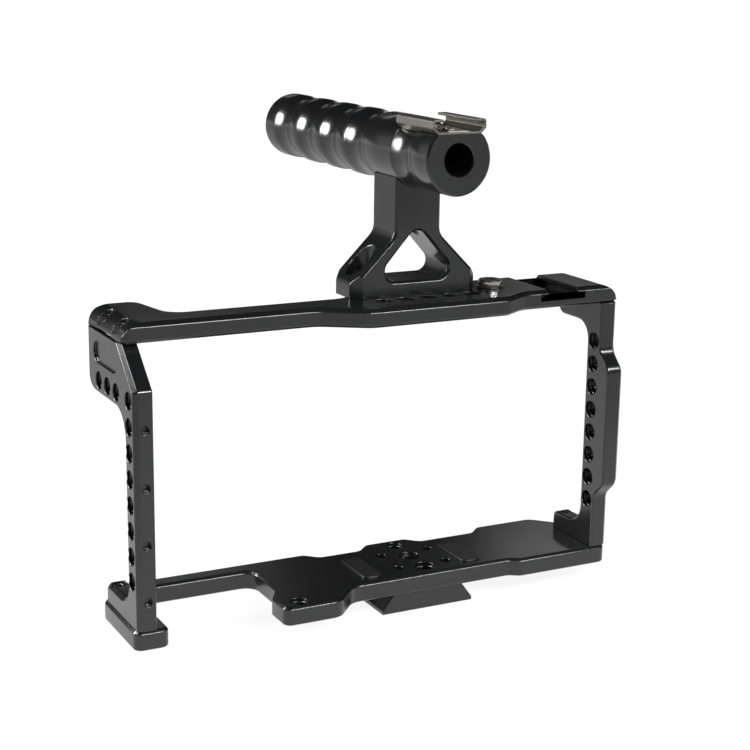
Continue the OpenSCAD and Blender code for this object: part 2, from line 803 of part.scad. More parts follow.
right_outline = rounded([
    [right_front_y, -blank_over, 0],
    [right_heel_y, -blank_over, 0],
    [right_heel_y, heel_h, heel_r],
    [right_column_y, heel_h, heel_fillet_r],
    [right_column_y, bay_h - right_ear_h, right_arc_r],
    [right_ear_y, bay_h - right_ear_h, right_ear_r],
    [right_ear_y, bay_h + blank_over, 0],
    [right_front_y, bay_h + blank_over, 0],
    [right_front_y, bay_h - right_step_high, right_step_r],
    [right_middle_y, bay_h - right_step_high - right_step_h, right_step_r],
    [right_middle_y, right_step_low + right_step_h, right_step_r],
    [right_front_y, right_step_low, right_step_r]
]);

ear_screw_y = right_ear_y - ear_screw_in;
ear_screw_seat = bay_h - right_ear_h + head_sink + M2_5[2];
ear_screw_len = bay_h - ear_screw_seat + ear_screw_bite;
dowel_z = bay_h - dowel_sink;

module right_side_plate() {
    color(body_black)
    difference() {
        intersection() {
            translate([right_x, 0, 0])
                along_x() slab(right_outline, 0, right_t, side_chamfer, inner_chamfer);
            translate([right_x - past, -past, 0])
                cube([right_t + 2 * past, right_ear_y + 2 * past, bay_h]);
        }
        at_right_column() cross_bore(right_t);
        translate([right_screw_x, right_heel_screw_y, heel_screw_seat])
            cap_screw_hole(M2_5, heel_screw_len + tip_gap, heel_h);
        translate([right_screw_x, right_holes_y, column_screw_seat])
            mirror([0, 0, 1]) cap_screw_hole(M3, column_screw_len + tip_gap, past);
        translate([right_screw_x, ear_screw_y, ear_screw_seat])
            mirror([0, 0, 1]) cap_screw_hole(M2_5, right_ear_h, right_ear_h);
        bore(right_screw_x, right_holes_y, dowel_z - fit, bay_h + past, dowel_d + 2 * fit);
    }
}

module top_left_screws() {
    color(screw_black)
        for (y = left_top_screw_y)
            translate([left_screw_x, y, left_top_screw_seat]) cap_screw(M3, left_top_screw_len);
}

module top_right_screw() {
    color(screw_black)
        translate([right_screw_x, ear_screw_y, ear_screw_seat])
            mirror([0, 0, 1]) cap_screw(M2_5, ear_screw_len);
}

module top_right_dowel() {
    color(steel) bore(right_screw_x, right_holes_y, dowel_z, dowel_z + dowel_len, dowel_d);
}

module left_heel_screw() {
    color(screw_black)
        translate([left_screw_x, heel_screw_y, heel_screw_seat]) cap_screw(M2_5, heel_screw_len);
}

module right_heel_screw() {
    color(screw_black)
        translate([right_screw_x, right_heel_screw_y, heel_screw_seat]) cap_screw(M2_5, heel_screw_len);
}

module left_column_screw() {
    color(screw_black)
        translate([left_screw_x, left_holes_y, column_screw_seat])
            mirror([0, 0, 1]) cap_screw(M3, column_screw_len);
}

module right_column_screw() {
    color(screw_black)
        translate([right_screw_x, right_holes_y, column_screw_seat])
            mirror([0, 0, 1]) cap_screw(M3, column_screw_len);
}

// ---------------------------------------------------------------- top plate

top_outline = rounded([
    [0, arm_front_y + arm_corner, 2],
    [arm_corner, arm_front_y, 2],
    [wide_x, arm_front_y, top_bend_r],
    [wide_x + wide_step, wide_front_y, top_bend_r],
    [wide_end_x, wide_front_y, 0.6 * top_bend_r],
    [wide_end_x + wide_end_step, right_front_y, top_bend_r],
    [cage_w, right_front_y, 2],
    [cage_w, right_ear_y, right_ear_r],
    [rear_step_x + rear_step, right_ear_y, top_bend_r],
    [rear_step_x, arm_rear_y, top_bend_r],
    [left_block_w + left_block_slope, arm_rear_y, left_bend_r],
    [left_block_w, ear_rear_y, block_rear_r],
    [0, ear_rear_y, left_block_r]
]);

// Rounds one end of the top plate, seen from the front
module end_round(x, way) {
    translate([x, 0, top_z - end_r])
        rotate([-90, 0, 0])
            difference() {
                translate([way > 0 ? -past : -end_r, -end_r - past, -2 * past - grip_front])
                    cube([end_r + past, end_r + past, 2 * ear_rear_y]);
                translate([way * end_r, 0, -3 * past - grip_front])
                    cylinder(r = end_r, h = 2 * ear_rear_y + 2 * past);
            }
}

module top_plate() {
    color(body_black)
    difference() {
        slab(top_outline, bay_h, top_z, top_chamfer, edge_chamfer);
        end_round(0, 1);
        end_round(cage_w, -1);
        translate([slot_x - slot_mouth_w / 2, -past, top_z - slot_lip - slot_channel_h])
            cube([slot_mouth_w, ear_rear_y, top_t]);
        translate([slot_x - slot_channel_w / 2, -past, top_z - slot_lip - slot_channel_h])
            cube([slot_channel_w, ear_rear_y, slot_channel_h]);
        for (i = [0 : row_holes - 1])
            bore(row_x + (i - (row_holes - 1) / 2) * tap_pitch, row_y, bay_h - past, top_z + past, tap_d);
        bore(top_screw_x, top_screw_y, bay_h - past, top_z + past, camera_screw_d + 2 * fit);
        for (s = [-1, 1])
            bore(handle_x + s * handle_screw_dx / 2, post_y, bay_h - past, top_z + past, M6_LOW[0] + 2 * fit);
        for (y = left_top_screw_y)
            translate([left_screw_x, y, left_top_screw_seat]) cap_screw_hole(M3, top_t, top_t);
        translate([right_screw_x, ear_screw_y, ear_screw_seat])
            mirror([0, 0, 1]) cap_screw_hole(M2_5, ear_screw_len + tip_gap, past);
        bore(right_screw_x, right_holes_y, bay_h - past, dowel_z + dowel_len + fit, dowel_d + 2 * fit);
    }
}

// ---------------------------------------------------------------- camera screws

coin_slot_w = 1.6;
coin_slot_h = 1.4;
top_key = 4;
top_key_h = 1.8;
top_tip_gap = 0.3;
top_washer_d = top_head_d + 0.6;

module base_screw() {
    thread_z = base_head_top + washer_t + stop_gap;
    color(steel)
    difference() {
        union() {
            bore(tripod_x, tripod_y, base_head_rest, base_head_top, base_head_d);
            bore(tripod_x, tripod_y, base_head_top - past, thread_z + past, screw_neck_d);
            bore(tripod_x, tripod_y, thread_z, -base_tip_drop, camera_screw_d);
        }
        translate([tripod_x - base_head_d / 2 - past, tripod_y - coin_slot_w / 2, base_head_rest - past])
            cube([base_head_d + 2 * past, coin_slot_w, coin_slot_h + past]);
    }
}

module washer(x, y, z, thickness, outer_d, inner_d) {
    difference() {
        bore(x, y, z, z + thickness, outer_d);
        bore(x, y, z - past, z + thickness + past, inner_d);
    }
}

module base_screw_washer() {
    color(rubber)
        washer(tripod_x, tripod_y, base_head_top + fit, washer_t,
            base_head_d - 1, screw_neck_d + 2 * fit);
}

module top_screw() {
    head_z = top_z + top_washer_t + fit;
    color(steel)
    difference() {
        union() {
            bore(top_screw_x, top_screw_y, head_z, head_z + top_head_h, top_head_d);
            bore(top_screw_x, top_screw_y, bay_h + top_tip_gap, head_z + past, camera_screw_d);
        }
        translate([top_screw_x, top_screw_y, head_z + top_head_h - top_key_h])
            cylinder(d = top_key / cos(30), h = top_key_h + past, $fn = 6);
    }
}

module top_screw_washer() {
    color(steel)
        washer(top_screw_x, top_screw_y, top_z, top_washer_t, top_washer_d, camera_screw_d + 2 * fit);
}

// ---------------------------------------------------------------- handle post

slope_w = (post_base_w - neck_w) / 2;
window_chamfer = 1;

post_outline = rounded([
    [-post_base_w / 2, -blank_over, 0],
    [post_base_w / 2, -blank_over, 0],
    [post_base_w / 2, post_end_h, post_end_r],
    [neck_w / 2, post_end_h + slope_w, neck_r],
    [neck_w / 2, grip_z, 0],
    [-neck_w / 2, grip_z, 0],
    [-neck_w / 2, post_end_h + slope_w, neck_r],
    [-post_base_w / 2, post_end_h, post_end_r]
]);

window_outline = rounded([
    [-window_w / 2, window_floor, window_r],
    [window_w / 2, window_floor, window_r],
    [0, window_floor + window_h, window_r]
]);

grip_screw_seat = top_z + window_floor + window_h + grip_screw_up;
grip_screw_len = grip_axis_z - grip_bore_d / 2 - grip_tip_in - grip_screw_seat;

module handle_post() {
    color(body_black)
    difference() {
        translate([handle_x, post_y + post_d / 2, top_z])
            along_front()
                difference() {
                    slab(post_outline, 0, post_d, post_chamfer, post_chamfer);
                    translate([0, 0, -past]) linear_extrude(post_d + 2 * past) polygon(window_outline);
                    edge_cut(backwards(window_outline), post_d, window_chamfer, 1);
                    edge_cut(backwards(window_outline), 0, window_chamfer, -1);
                }
        translate([0, 0, top_z - 2 * blank_over])
            cube([2 * handle_x, 4 * post_d, 2 * blank_over]);
        for (sx = [-1, 1], sy = [-1, 1])
            translate([handle_x + sx * post_base_w / 2, post_y + sy * post_d / 2, top_z - past])
                rotate([0, 0, 45])
                    translate([-post_corner * sqrt(0.5), -post_corner * sqrt(0.5), 0])
                        cube([post_corner * sqrt(2), post_corner * sqrt(2), grip_z]);
        for (s = [-1, 1])
            translate([handle_x + s * handle_screw_dx / 2, post_y, top_z + handle_screw_seat])
                cap_screw_hole(M6_LOW, handle_screw_seat + past, grip_z);
        translate([handle_x, post_y, grip_screw_seat])
            mirror([0, 0, 1]) cylinder(d = M5[1] + 2 * head_gap, h = window_h);
        bore(handle_x, post_y, grip_screw_seat - past, grip_axis_z, M5[0] + 2 * fit);
        translate([handle_x, grip_rear_y, grip_axis_z])
            along_front() cylinder(d = grip_d + 2 * fit, h = grip_len, $fn = 96);
    }
}

module handle_base_screws() {
    color(screw_black)
        for (s = [-1, 1])
            translate([handle_x + s * handle_screw_dx / 2, post_y, top_z + handle_screw_seat])
                cap_screw(M6_LOW, handle_screw_seat + top_t - handle_tip_in);
}

module grip_screw() {
    color(screw_black)
        translate([handle_x, post_y, grip_screw_seat])
            mirror([0, 0, 1]) cap_screw(M5, grip_screw_len);
}

// ---------------------------------------------------------------- grip

grip_r = grip_d / 2;
crease_y = [0, for (i = [0 : grooves - 1]) saddle_len + i * groove_pitch];
groove_len = 15.2;
groove_steps = 18;
groove_skew = 1.25;

// Depth of a finger groove at a distance behind its crease
function groove_at(s) =
    s <= 0 || s >= groove_len ? 0 : groove_depth * sin(180 * pow(s / groove_len, groove_skew));

grip_profile = [
    [grip_bore_d / 2, 0],
    [grip_r - grip_rim, 0],
    [grip_r, grip_rim],
    for (c = crease_y, i = [0 : groove_steps])
        let (s = groove_len * i / groove_steps)
        [grip_r - groove_at(s), collar_len + c + s],
    for (a = [0 : 10 : 90]) [
        grip_r - grip_end_r + grip_end_r * cos(a),
        grip_len - grip_end_r + grip_end_r * sin(a)
    ],
    [grip_bore_d / 2, grip_len]
];

module handle_grip() {
    color(body_black)
    difference() {
        translate([handle_x, grip_front_y, grip_axis_z])
            rotate([-90, 0, 0]) rotate_extrude($fn = 96) polygon(grip_profile);
        translate([0, grip_front_y - past, shoe_floor_z])
            cube([2 * handle_x, shoe_len + 2 * past, grip_d]);
        for (s = [-1, 1])
            translate([handle_x, shoe_y + s * shoe_screw_dy / 2, shoe_floor_z - shoe_screw_in - tip_gap])
                cylinder(d = M3[0] + 2 * fit, h = shoe_screw_in + tip_gap + past);
        bore(handle_x, post_y, grip_axis_z - grip_d, grip_axis_z, M5[0] + 2 * fit);
    }
}

// ---------------------------------------------------------------- cold shoe

module cold_shoe() {
    half = shoe_w / 2;
    lip = shoe_mouth_w / 2;
    edge = 0.6;
    inset = 0.4 * shoe_t;
    color(steel)
    difference() {
        translate([handle_x, grip_front_y + shoe_len, shoe_floor_z])
            along_front()
                linear_extrude(shoe_len)
                    polygon([
                        [shoe_bend - half, 0], [half - shoe_bend, 0], [half, shoe_bend],
                        [half, shoe_h - edge], [half - edge, shoe_h], [lip, shoe_h],
                        [lip, shoe_h - shoe_t], [half - shoe_t, shoe_h - shoe_t],
                        [half - shoe_t, shoe_bend + inset], [half - shoe_bend - inset, shoe_t],
                        [shoe_bend + inset - half, shoe_t], [shoe_t - half, shoe_bend + inset],
                        [shoe_t - half, shoe_h - shoe_t], [-lip, shoe_h - shoe_t], [-lip, shoe_h],
                        [edge - half, shoe_h], [-half, shoe_h - edge], [-half, shoe_bend]
                    ]);
        for (s = [-1, 1])
            translate([handle_x, shoe_y + s * shoe_screw_dy / 2, shoe_floor_z - past])
                cylinder(d = M3[0] + 2 * fit, h = shoe_t + 2 * past);
    }
}

module cold_shoe_spring() {
    color(steel)
    difference() {
        translate([handle_x - spring_w / 2, grip_front_y + spring_in, shoe_floor_z + shoe_t])
            cube([spring_w, shoe_len - 2 * spring_in, spring_t]);
        for (s = [-1, 1])
            translate([handle_x, shoe_y + s * shoe_screw_dy / 2, shoe_floor_z])
                cylinder(d = M3[0] + 2 * fit, h = shoe_t + spring_t + past);
    }
}

module cold_shoe_screws() {
    color(steel)
        for (s = [-1, 1])
            translate([handle_x, shoe_y + s * shoe_screw_dy / 2, shoe_floor_z + shoe_t + spring_t])
                cap_screw(M3_FLAT, shoe_t + spring_t + shoe_screw_in);
}

// ---------------------------------------------------------------- assembly

module in_frame() {
    translate([-tripod_x, -tripod_y, base_t + foot_h]) children();
}

in_frame() base_plate();
in_frame() top_plate();
in_frame() left_side_plate();
in_frame() right_side_plate();
in_frame() dovetail_foot();
in_frame() dovetail_screws();
in_frame() top_left_screws();
in_frame() top_right_screw();
in_frame() top_right_dowel();
in_frame() left_heel_screw();
in_frame() right_heel_screw();
in_frame() left_column_screw();
in_frame() right_column_screw();
in_frame() left_pad();
in_frame() right_pad();
in_frame() base_screw();
in_frame() base_screw_washer();
in_frame() top_screw();
in_frame() top_screw_washer();
in_frame() handle_post();
in_frame() handle_base_screws();
in_frame() handle_grip();
in_frame() grip_screw();
in_frame() cold_shoe();
in_frame() cold_shoe_spring();
in_frame() cold_shoe_screws();
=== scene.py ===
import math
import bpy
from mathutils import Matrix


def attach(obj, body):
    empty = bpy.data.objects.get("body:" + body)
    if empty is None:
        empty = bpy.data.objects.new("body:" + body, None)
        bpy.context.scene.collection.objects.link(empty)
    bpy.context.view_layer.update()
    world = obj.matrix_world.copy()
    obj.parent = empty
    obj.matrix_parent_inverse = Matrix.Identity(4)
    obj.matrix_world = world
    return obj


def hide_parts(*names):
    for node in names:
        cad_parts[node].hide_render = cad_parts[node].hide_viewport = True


bl_info = {
    "name": "Camera Cage",
    "version": (1, 0, 0),
    "blender": (4, 5, 0),
    "location": "View3D > Sidebar > Camera Cage",
    "description": "Dresses the packed camera cage with finishes, threads and screws",
    "category": "Object",
}

import bmesh
import bpy
from bpy.props import FloatProperty, FloatVectorProperty, IntProperty, PointerProperty
from mathutils import Matrix, Vector

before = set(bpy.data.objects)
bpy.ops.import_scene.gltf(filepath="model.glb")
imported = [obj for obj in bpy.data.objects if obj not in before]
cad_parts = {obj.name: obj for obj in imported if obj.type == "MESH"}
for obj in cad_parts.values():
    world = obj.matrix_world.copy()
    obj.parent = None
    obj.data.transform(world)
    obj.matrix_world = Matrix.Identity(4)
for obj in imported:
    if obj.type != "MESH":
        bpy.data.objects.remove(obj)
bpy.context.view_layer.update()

MM = 0.001
INCH = 25.4

# Millimetres from the cage's own corner: the left plate's outer face, the left
# column's front face and the floor of the camera bay
LEFT_T, RIGHT_X, RIGHT_T = 6.8, 187.4, 7.3
BASE_T, BAY_H, TOP_T, TOP_Z = 7.0, 96.7, 7.0, 103.7
FOOT_H = 8.5
TRIPOD = (118.6, 28.6)
TOP_SCREW = (146.3, 20.9)
HANDLE_X, POST_Y, GRIP_Z = 113.65, 26.5, 155.3
TAP, TAP_WIDE, TAP_SMALL = 6.35, 8.0, 3.0

# That corner in the frame, whose origin is under the tripod hole at the foot's underside
CORNER = Vector((-TRIPOD[0], -TRIPOD[1], BASE_T + FOOT_H))


def at(x, y, z):
    """A point of the cage, in millimetres from its corner, as metres in the frame."""
    return (Vector((x, y, z)) + CORNER) * MM


# ------------------------------------------------------------------ sizes


class CageThreads(bpy.types.PropertyGroup):
    pitch: FloatProperty(
        name="Pitch",
        description="Pitch of the 1/4 inch threads",
        default=INCH / 20 * MM,
        min=0.0004,
        max=0.003,
        subtype="DISTANCE",
    )
    crest: FloatProperty(
        name="Crest",
        description="How far a thread's crest stands in from the wall of its hole",
        default=0.00052,
        min=0.0001,
        max=0.001,
        subtype="DISTANCE",
    )
    turn_steps: IntProperty(
        name="Steps in a turn",
        description="Straight stretches in one turn of a thread",
        default=28,
        min=8,
        max=64,
    )


class CageEdges(bpy.types.PropertyGroup):
    width: FloatProperty(
        name="Edge break",
        description="Width of the broken edges of the machined pieces",
        default=0.0003,
        min=0.00005,
        max=0.001,
        subtype="DISTANCE",
    )
    angle: FloatProperty(
        name="Sharp from",
        description="Edges that turn by more than this are broken",
        default=math.radians(28),
        min=0.1,
        max=1.5,
        subtype="ANGLE",
    )


def colour(name, description, default):
    return FloatVectorProperty(
        name=name,
        description=description,
        default=default,
        size=3,
        min=0,
        max=1,
        subtype="COLOR",
    )


class CageFinish(bpy.types.PropertyGroup):
    black: colour(
        "Anodised black", "Colour of the anodised aluminium", (0.0036, 0.0038, 0.0041)
    )
    steel: colour("Bright steel", "Colour of the bright screws", (0.62, 0.60, 0.57))
    sheet: colour("Shoe sheet", "Colour of the folded sheet of the shoe", (0.125, 0.122, 0.105))
    oxide: colour("Black oxide", "Colour of the black screws", (0.055, 0.055, 0.058))
    rubber: colour(
        "Rubber", "Colour of the pads and of the nylon washer", (0.007, 0.007, 0.0072)
    )
    floor: colour("Floor", "Colour of the floor", (0.90, 0.90, 0.90))


# ------------------------------------------------------- shader node groups


def add_node(tree, kind, **values):
    node = tree.nodes.new(kind)
    for key, value in values.items():
        setattr(node, key, value)
    return node


def math_node(tree, operation, a, b):
    """A Math node; a and b are sockets or numbers. Returns its output."""
    node = add_node(tree, "ShaderNodeMath", operation=operation)
    for socket, value in zip(node.inputs, (a, b)):
        if isinstance(value, bpy.types.NodeSocket):
            tree.links.new(value, socket)
        else:
            socket.default_value = value
    return node.outputs[0]


def new_group(name, inputs, outputs):
    """A shader node group with float inputs {name: default} and float outputs [name]."""
    tree = bpy.data.node_groups.new(name, "ShaderNodeTree")
    tree.interface.new_socket("Vector", in_out="INPUT", socket_type="NodeSocketVector")
    for key, value in inputs.items():
        socket = tree.interface.new_socket(
            key, in_out="INPUT", socket_type="NodeSocketFloat"
        )
        socket.default_value = value
    for key in outputs:
        tree.interface.new_socket(key, in_out="OUTPUT", socket_type="NodeSocketFloat")
    return (
        tree,
        tree.nodes.new("NodeGroupInput").outputs,
        tree.nodes.new("NodeGroupOutput").inputs,
    )


def noise(tree, vector, scale, detail, rough=0.5):
    """A Noise texture; vector and scale are sockets. Returns its factor."""
    node = add_node(tree, "ShaderNodeTexNoise", noise_dimensions="3D")
    tree.links.new(vector, node.inputs["Vector"])
    node.inputs["Detail"].default_value = detail
    node.inputs["Roughness"].default_value = rough
    tree.links.new(scale, node.inputs["Scale"])
    return node.outputs["Fac"]


def blasted_skin():
    """Bead-blasted grain: a fine height, a slow tone and a roughness that follows both."""
    tree, source, result = new_group(
        "Blasted skin",
        {"Grain": 5200.0, "Tone size": 34.0, "Roughness": 0.4, "Spread": 0.06},
        ["Height", "Tone", "Roughness"],
    )
    fine = noise(tree, source["Vector"], source["Grain"], 3.0, 0.6)
    wide = math_node(tree, "MULTIPLY", source["Grain"], 0.27)
    coarse = noise(tree, source["Vector"], wide, 2.0)
    cloud = noise(tree, source["Vector"], source["Tone size"], 3.0, 0.55)
    fine_part = math_node(tree, "MULTIPLY", fine, 0.6)
    coarse_part = math_node(tree, "MULTIPLY", coarse, 0.4)
    tree.links.new(math_node(tree, "ADD", fine_part, coarse_part), result["Height"])
    tree.links.new(cloud, result["Tone"])
    swing = math_node(tree, "SUBTRACT", math_node(tree, "ADD", cloud, fine), 1.0)
    drift = math_node(tree, "MULTIPLY", swing, source["Spread"])
    rough = math_node(tree, "ADD", source["Roughness"], drift)
    tree.links.new(rough, result["Roughness"])
    return tree


SPECK_REACH = 0.16


def dust_specks():
    """Sparse specks of lint, as a mask."""
    tree, source, result = new_group("Dust specks", {"Size": 900.0, "Amount": 0.12}, ["Mask"])
    cells = add_node(tree, "ShaderNodeTexVoronoi", feature="F1")
    tree.links.new(source["Vector"], cells.inputs["Vector"])
    tree.links.new(source["Size"], cells.inputs["Scale"])
    split = add_node(tree, "ShaderNodeSeparateColor")
    tree.links.new(cells.outputs["Color"], split.inputs[0])
    chosen = math_node(tree, "LESS_THAN", split.outputs[0], source["Amount"])
    near = math_node(tree, "LESS_THAN", cells.outputs["Distance"], SPECK_REACH)
    tree.links.new(math_node(tree, "MULTIPLY", chosen, near), result["Mask"])
    return tree


def drawn_lines():
    """Fine lines along one direction, as rolled sheet and turned faces have."""
    tree, source, result = new_group(
        "Drawn lines", {"Fineness": 2600.0, "Stretch": 0.04}, ["Height"]
    )
    squeeze = add_node(tree, "ShaderNodeCombineXYZ")
    squeeze.inputs["X"].default_value = 1.0
    squeeze.inputs["Z"].default_value = 1.0
    tree.links.new(source["Stretch"], squeeze.inputs["Y"])
    scaled = add_node(tree, "ShaderNodeVectorMath", operation="MULTIPLY")
    tree.links.new(source["Vector"], scaled.inputs[0])
    tree.links.new(squeeze.outputs[0], scaled.inputs[1])
    tree.links.new(
        noise(tree, scaled.outputs[0], source["Fineness"], 2.0, 0.6), result["Height"]
    )
    return tree


# --------------------------------------------------------------- materials


def place_group(tree, group, vector, **values):
    """Places a shader node group; values are its inputs by name, where _ stands for a space."""
    node = add_node(tree, "ShaderNodeGroup", node_tree=group)
    tree.links.new(vector, node.inputs["Vector"])
    for key, value in values.items():
        node.inputs[key.replace("_", " ")].default_value = value
    return node.outputs


def new_material(name):
    """A material with its tree, its Principled shader and its Object coordinates."""
    material = bpy.data.materials.new(name)
    material.use_nodes = True
    tree = material.node_tree
    shader = tree.nodes["Principled BSDF"]
    place = add_node(tree, "ShaderNodeTexCoord").outputs["Object"]
    return material, tree, shader, place


def tint(tree, shader, colour, factor, low, high):
    """Base Color as a colour that swings between low and high times its value."""
    mix = add_node(tree, "ShaderNodeMix", data_type="RGBA")
    tree.links.new(factor, mix.inputs[0])
    mix.inputs[6].default_value = (*[c * low for c in colour], 1)
    mix.inputs[7].default_value = (*[c * high for c in colour], 1)
    tree.links.new(mix.outputs[2], shader.inputs["Base Color"])
    return mix


def bump(tree, shader, height, depth):
    """Bump on a shader: depth is the distance in metres that a height of 1 stands for."""
    node = add_node(tree, "ShaderNodeBump")
    node.inputs["Strength"].default_value = 1.0
    node.inputs["Distance"].default_value = depth
    tree.links.new(height, node.inputs["Height"])
    tree.links.new(node.outputs[0], shader.inputs["Normal"])


def anodised(name, colour, roughness, grain, depth):
    """Satin black anodised aluminium over a bead-blasted skin, with a little lint."""
    material, tree, shader, place = new_material(name)
    skin = place_group(
        tree, GROUPS["skin"], place, Grain=grain, Roughness=roughness, Spread=0.10
    )
    dust = place_group(tree, GROUPS["dust"], place, Size=520.0, Amount=0.035)
    mix = tint(tree, shader, colour, skin["Tone"], 0.82, 1.2)
    lint = add_node(tree, "ShaderNodeMix", data_type="RGBA")
    tree.links.new(dust["Mask"], lint.inputs[0])
    tree.links.new(mix.outputs[2], lint.inputs[6])
    lint.inputs[7].default_value = (*[min(1, c * 2.6) for c in colour], 1)
    tree.links.new(lint.outputs[2], shader.inputs["Base Color"])
    tree.links.new(skin["Roughness"], shader.inputs["Roughness"])
    shader.inputs["Specular IOR Level"].default_value = 0.64
    bump(tree, shader, skin["Height"], depth)
    return material


def steel(name, colour, roughness, stretch, depth):
    """Steel with fine lines and a faint grain."""
    material, tree, shader, place = new_material(name)
    lines = place_group(tree, GROUPS["lines"], place, Fineness=1900.0, Stretch=stretch)
    skin = place_group(tree, GROUPS["skin"], place, Grain=2300.0, Roughness=roughness, Spread=0.14)
    tint(tree, shader, colour, skin["Tone"], 0.86, 1.08)
    tree.links.new(skin["Roughness"], shader.inputs["Roughness"])
    shader.inputs["Metallic"].default_value = 1.0
    bump(tree, shader, math_node(tree, "ADD", lines["Height"], skin["Height"]), depth)
    return material


def soft_plastic(name, colour, roughness, grain, depth):
    """Moulded rubber or nylon with a pebbled skin."""
    material, tree, shader, place = new_material(name)
    skin = place_group(tree, GROUPS["skin"], place, Grain=grain, Roughness=roughness, Spread=0.08)
    tint(tree, shader, colour, skin["Tone"], 0.8, 1.25)
    tree.links.new(skin["Roughness"], shader.inputs["Roughness"])
    shader.inputs["Specular IOR Level"].default_value = 0.4
    bump(tree, shader, skin["Height"], depth)
    return material


# Filled by CAGE_OT_finishes: the shader node groups and the materials, by name
GROUPS = {}
FINISH = {}


class CAGE_OT_finishes(bpy.types.Operator):
    """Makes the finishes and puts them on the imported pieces"""

    bl_idname = "cage.finishes"
    bl_label = "Finishes"

    def execute(self, context):
        look = context.scene.cage_finish
        GROUPS.update(skin=blasted_skin(), dust=dust_specks(), lines=drawn_lines())
        FINISH.update(
            plate=anodised("anodised plate", look.black, 0.22, 5200.0, 0.000009),
            grip=anodised("anodised grip", look.black, 0.21, 7600.0, 0.000004),
            oxide=steel("black oxide", look.oxide, 0.38, 0.6, 0.000008),
            bright=steel("bright screw steel", look.steel, 0.20, 0.5, 0.000006),
            sheet=steel("shoe sheet steel", look.sheet, 0.40, 0.06, 0.000024),
            rubber=soft_plastic("pad rubber", look.rubber, 0.34, 1700.0, 0.00005),
            nylon=soft_plastic("washer nylon", look.rubber, 0.5, 2600.0, 0.00002),
        )
        for node, finish in NODE_FINISH.items():
            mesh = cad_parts[node].data
            mesh.materials.clear()
            mesh.materials.append(FINISH[finish])
        return {"FINISHED"}


NODE_FINISH = {
    "base_plate": "plate",
    "top_plate": "plate",
    "left_side_plate": "plate",
    "right_side_plate": "plate",
    "dovetail_foot": "plate",
    "handle_post": "plate",
    "handle_grip": "grip",
    "dovetail_screws": "oxide",
    "top_left_screws": "oxide",
    "top_right_screw": "oxide",
    "top_right_dowel": "bright",
    "left_heel_screw": "oxide",
    "right_heel_screw": "oxide",
    "left_column_screw": "oxide",
    "right_column_screw": "oxide",
    "handle_base_screws": "oxide",
    "grip_screw": "oxide",
    "left_pad": "rubber",
    "right_pad": "rubber",
    "base_screw": "bright",
    "base_screw_washer": "nylon",
    "top_screw": "bright",
    "top_screw_washer": "bright",
    "cold_shoe": "sheet",
    "cold_shoe_spring": "bright",
    "cold_shoe_screws": "bright",
}


# ------------------------------------------------------------ mesh helpers


def new_object(name, mesh):
    piece = bpy.data.objects.new(name, mesh)
    bpy.context.scene.collection.objects.link(piece)
    return piece


def mesh_from(name, vertices, faces):
    mesh = bpy.data.meshes.new(name)
    mesh.from_pydata(vertices, [], faces)
    mesh.update()
    return mesh


def settle(piece, name):
    """Turns a piece's evaluated shape into a plain mesh and drops its modifiers."""
    bpy.context.view_layer.update()
    graph = bpy.context.evaluated_depsgraph_get()
    mesh = bpy.data.meshes.new_from_object(piece.evaluated_get(graph))
    mesh.name = name
    piece.modifiers.clear()
    piece.data = mesh


# Edges of a turned piece that stay sharp turn by more than this
TURNED_SHARP = math.radians(30)


def smooth(mesh, angle):
    for face in mesh.polygons:
        face.use_smooth = True
    mesh.set_sharp_from_angle(angle=angle)


def lathe(rings, steps):
    """A closed solid turned round Z, in millimetres: rings are (radius, z), and a radius
    may be a function of the angle. The first and last rings are closed with a pole.
    """
    vertices, faces = [], []
    for radius, z in rings:
        for k in range(steps):
            a = 2 * math.pi * k / steps
            r = radius(a) if callable(radius) else radius
            vertices.append((r * math.cos(a) * MM, r * math.sin(a) * MM, z * MM))
    for i in range(len(rings) - 1):
        for k in range(steps):
            j = (k + 1) % steps
            faces.append((i * steps + k, i * steps + j, (i + 1) * steps + j, (i + 1) * steps + k))
    for ring, z, way in ((0, rings[0][1], -1), (len(rings) - 1, rings[-1][1], 1)):
        pole = len(vertices)
        vertices.append((0, 0, z * MM))
        for k in range(steps):
            a, b = ring * steps + k, ring * steps + (k + 1) % steps
            faces.append((a, b, pole) if way > 0 else (b, a, pole))
    return vertices, faces


def hexagon(across):
    """Distance from the centre to a hexagon's side at an angle."""

    def radius(a):
        return across / 2 / math.cos((a + math.pi / 6) % (math.pi / 3) - math.pi / 6)

    return radius


def knurled(radius, teeth, depth):
    """Radius of a knurled side at an angle."""

    def value(a):
        return radius - depth * (0.5 + 0.5 * math.cos(teeth * a))

    return value


# ---------------------------------------------------------- geometry nodes

# Turns that lay Z along an axis, or upside down
ALONG_X = (0.0, math.pi / 2, 0.0)
ALONG_Y = (-math.pi / 2, 0.0, 0.0)
UPRIGHT = (0.0, 0.0, 0.0)
FLIPPED = (math.pi, 0.0, 0.0)


def node_tree(name, sizes):
    """A geometry node tree with inputs {name: default}, where None stands for an
    object, and a material input.
    """
    tree = bpy.data.node_groups.new(name, "GeometryNodeTree")
    tree.interface.new_socket("Geometry", in_out="INPUT", socket_type="NodeSocketGeometry")
    for key, value in sizes.items():
        kind = "NodeSocketInt" if isinstance(value, int) else "NodeSocketFloat"
        if isinstance(value, tuple):
            kind = "NodeSocketVector"
        if value is None:
            kind = "NodeSocketObject"
        socket = tree.interface.new_socket(key, in_out="INPUT", socket_type=kind)
        if value is not None:
            socket.default_value = value
    tree.interface.new_socket("Material", in_out="INPUT", socket_type="NodeSocketMaterial")
    tree.interface.new_socket("Geometry", in_out="OUTPUT", socket_type="NodeSocketGeometry")
    return (
        tree,
        tree.nodes.new("NodeGroupInput").outputs,
        tree.nodes.new("NodeGroupOutput").inputs,
    )


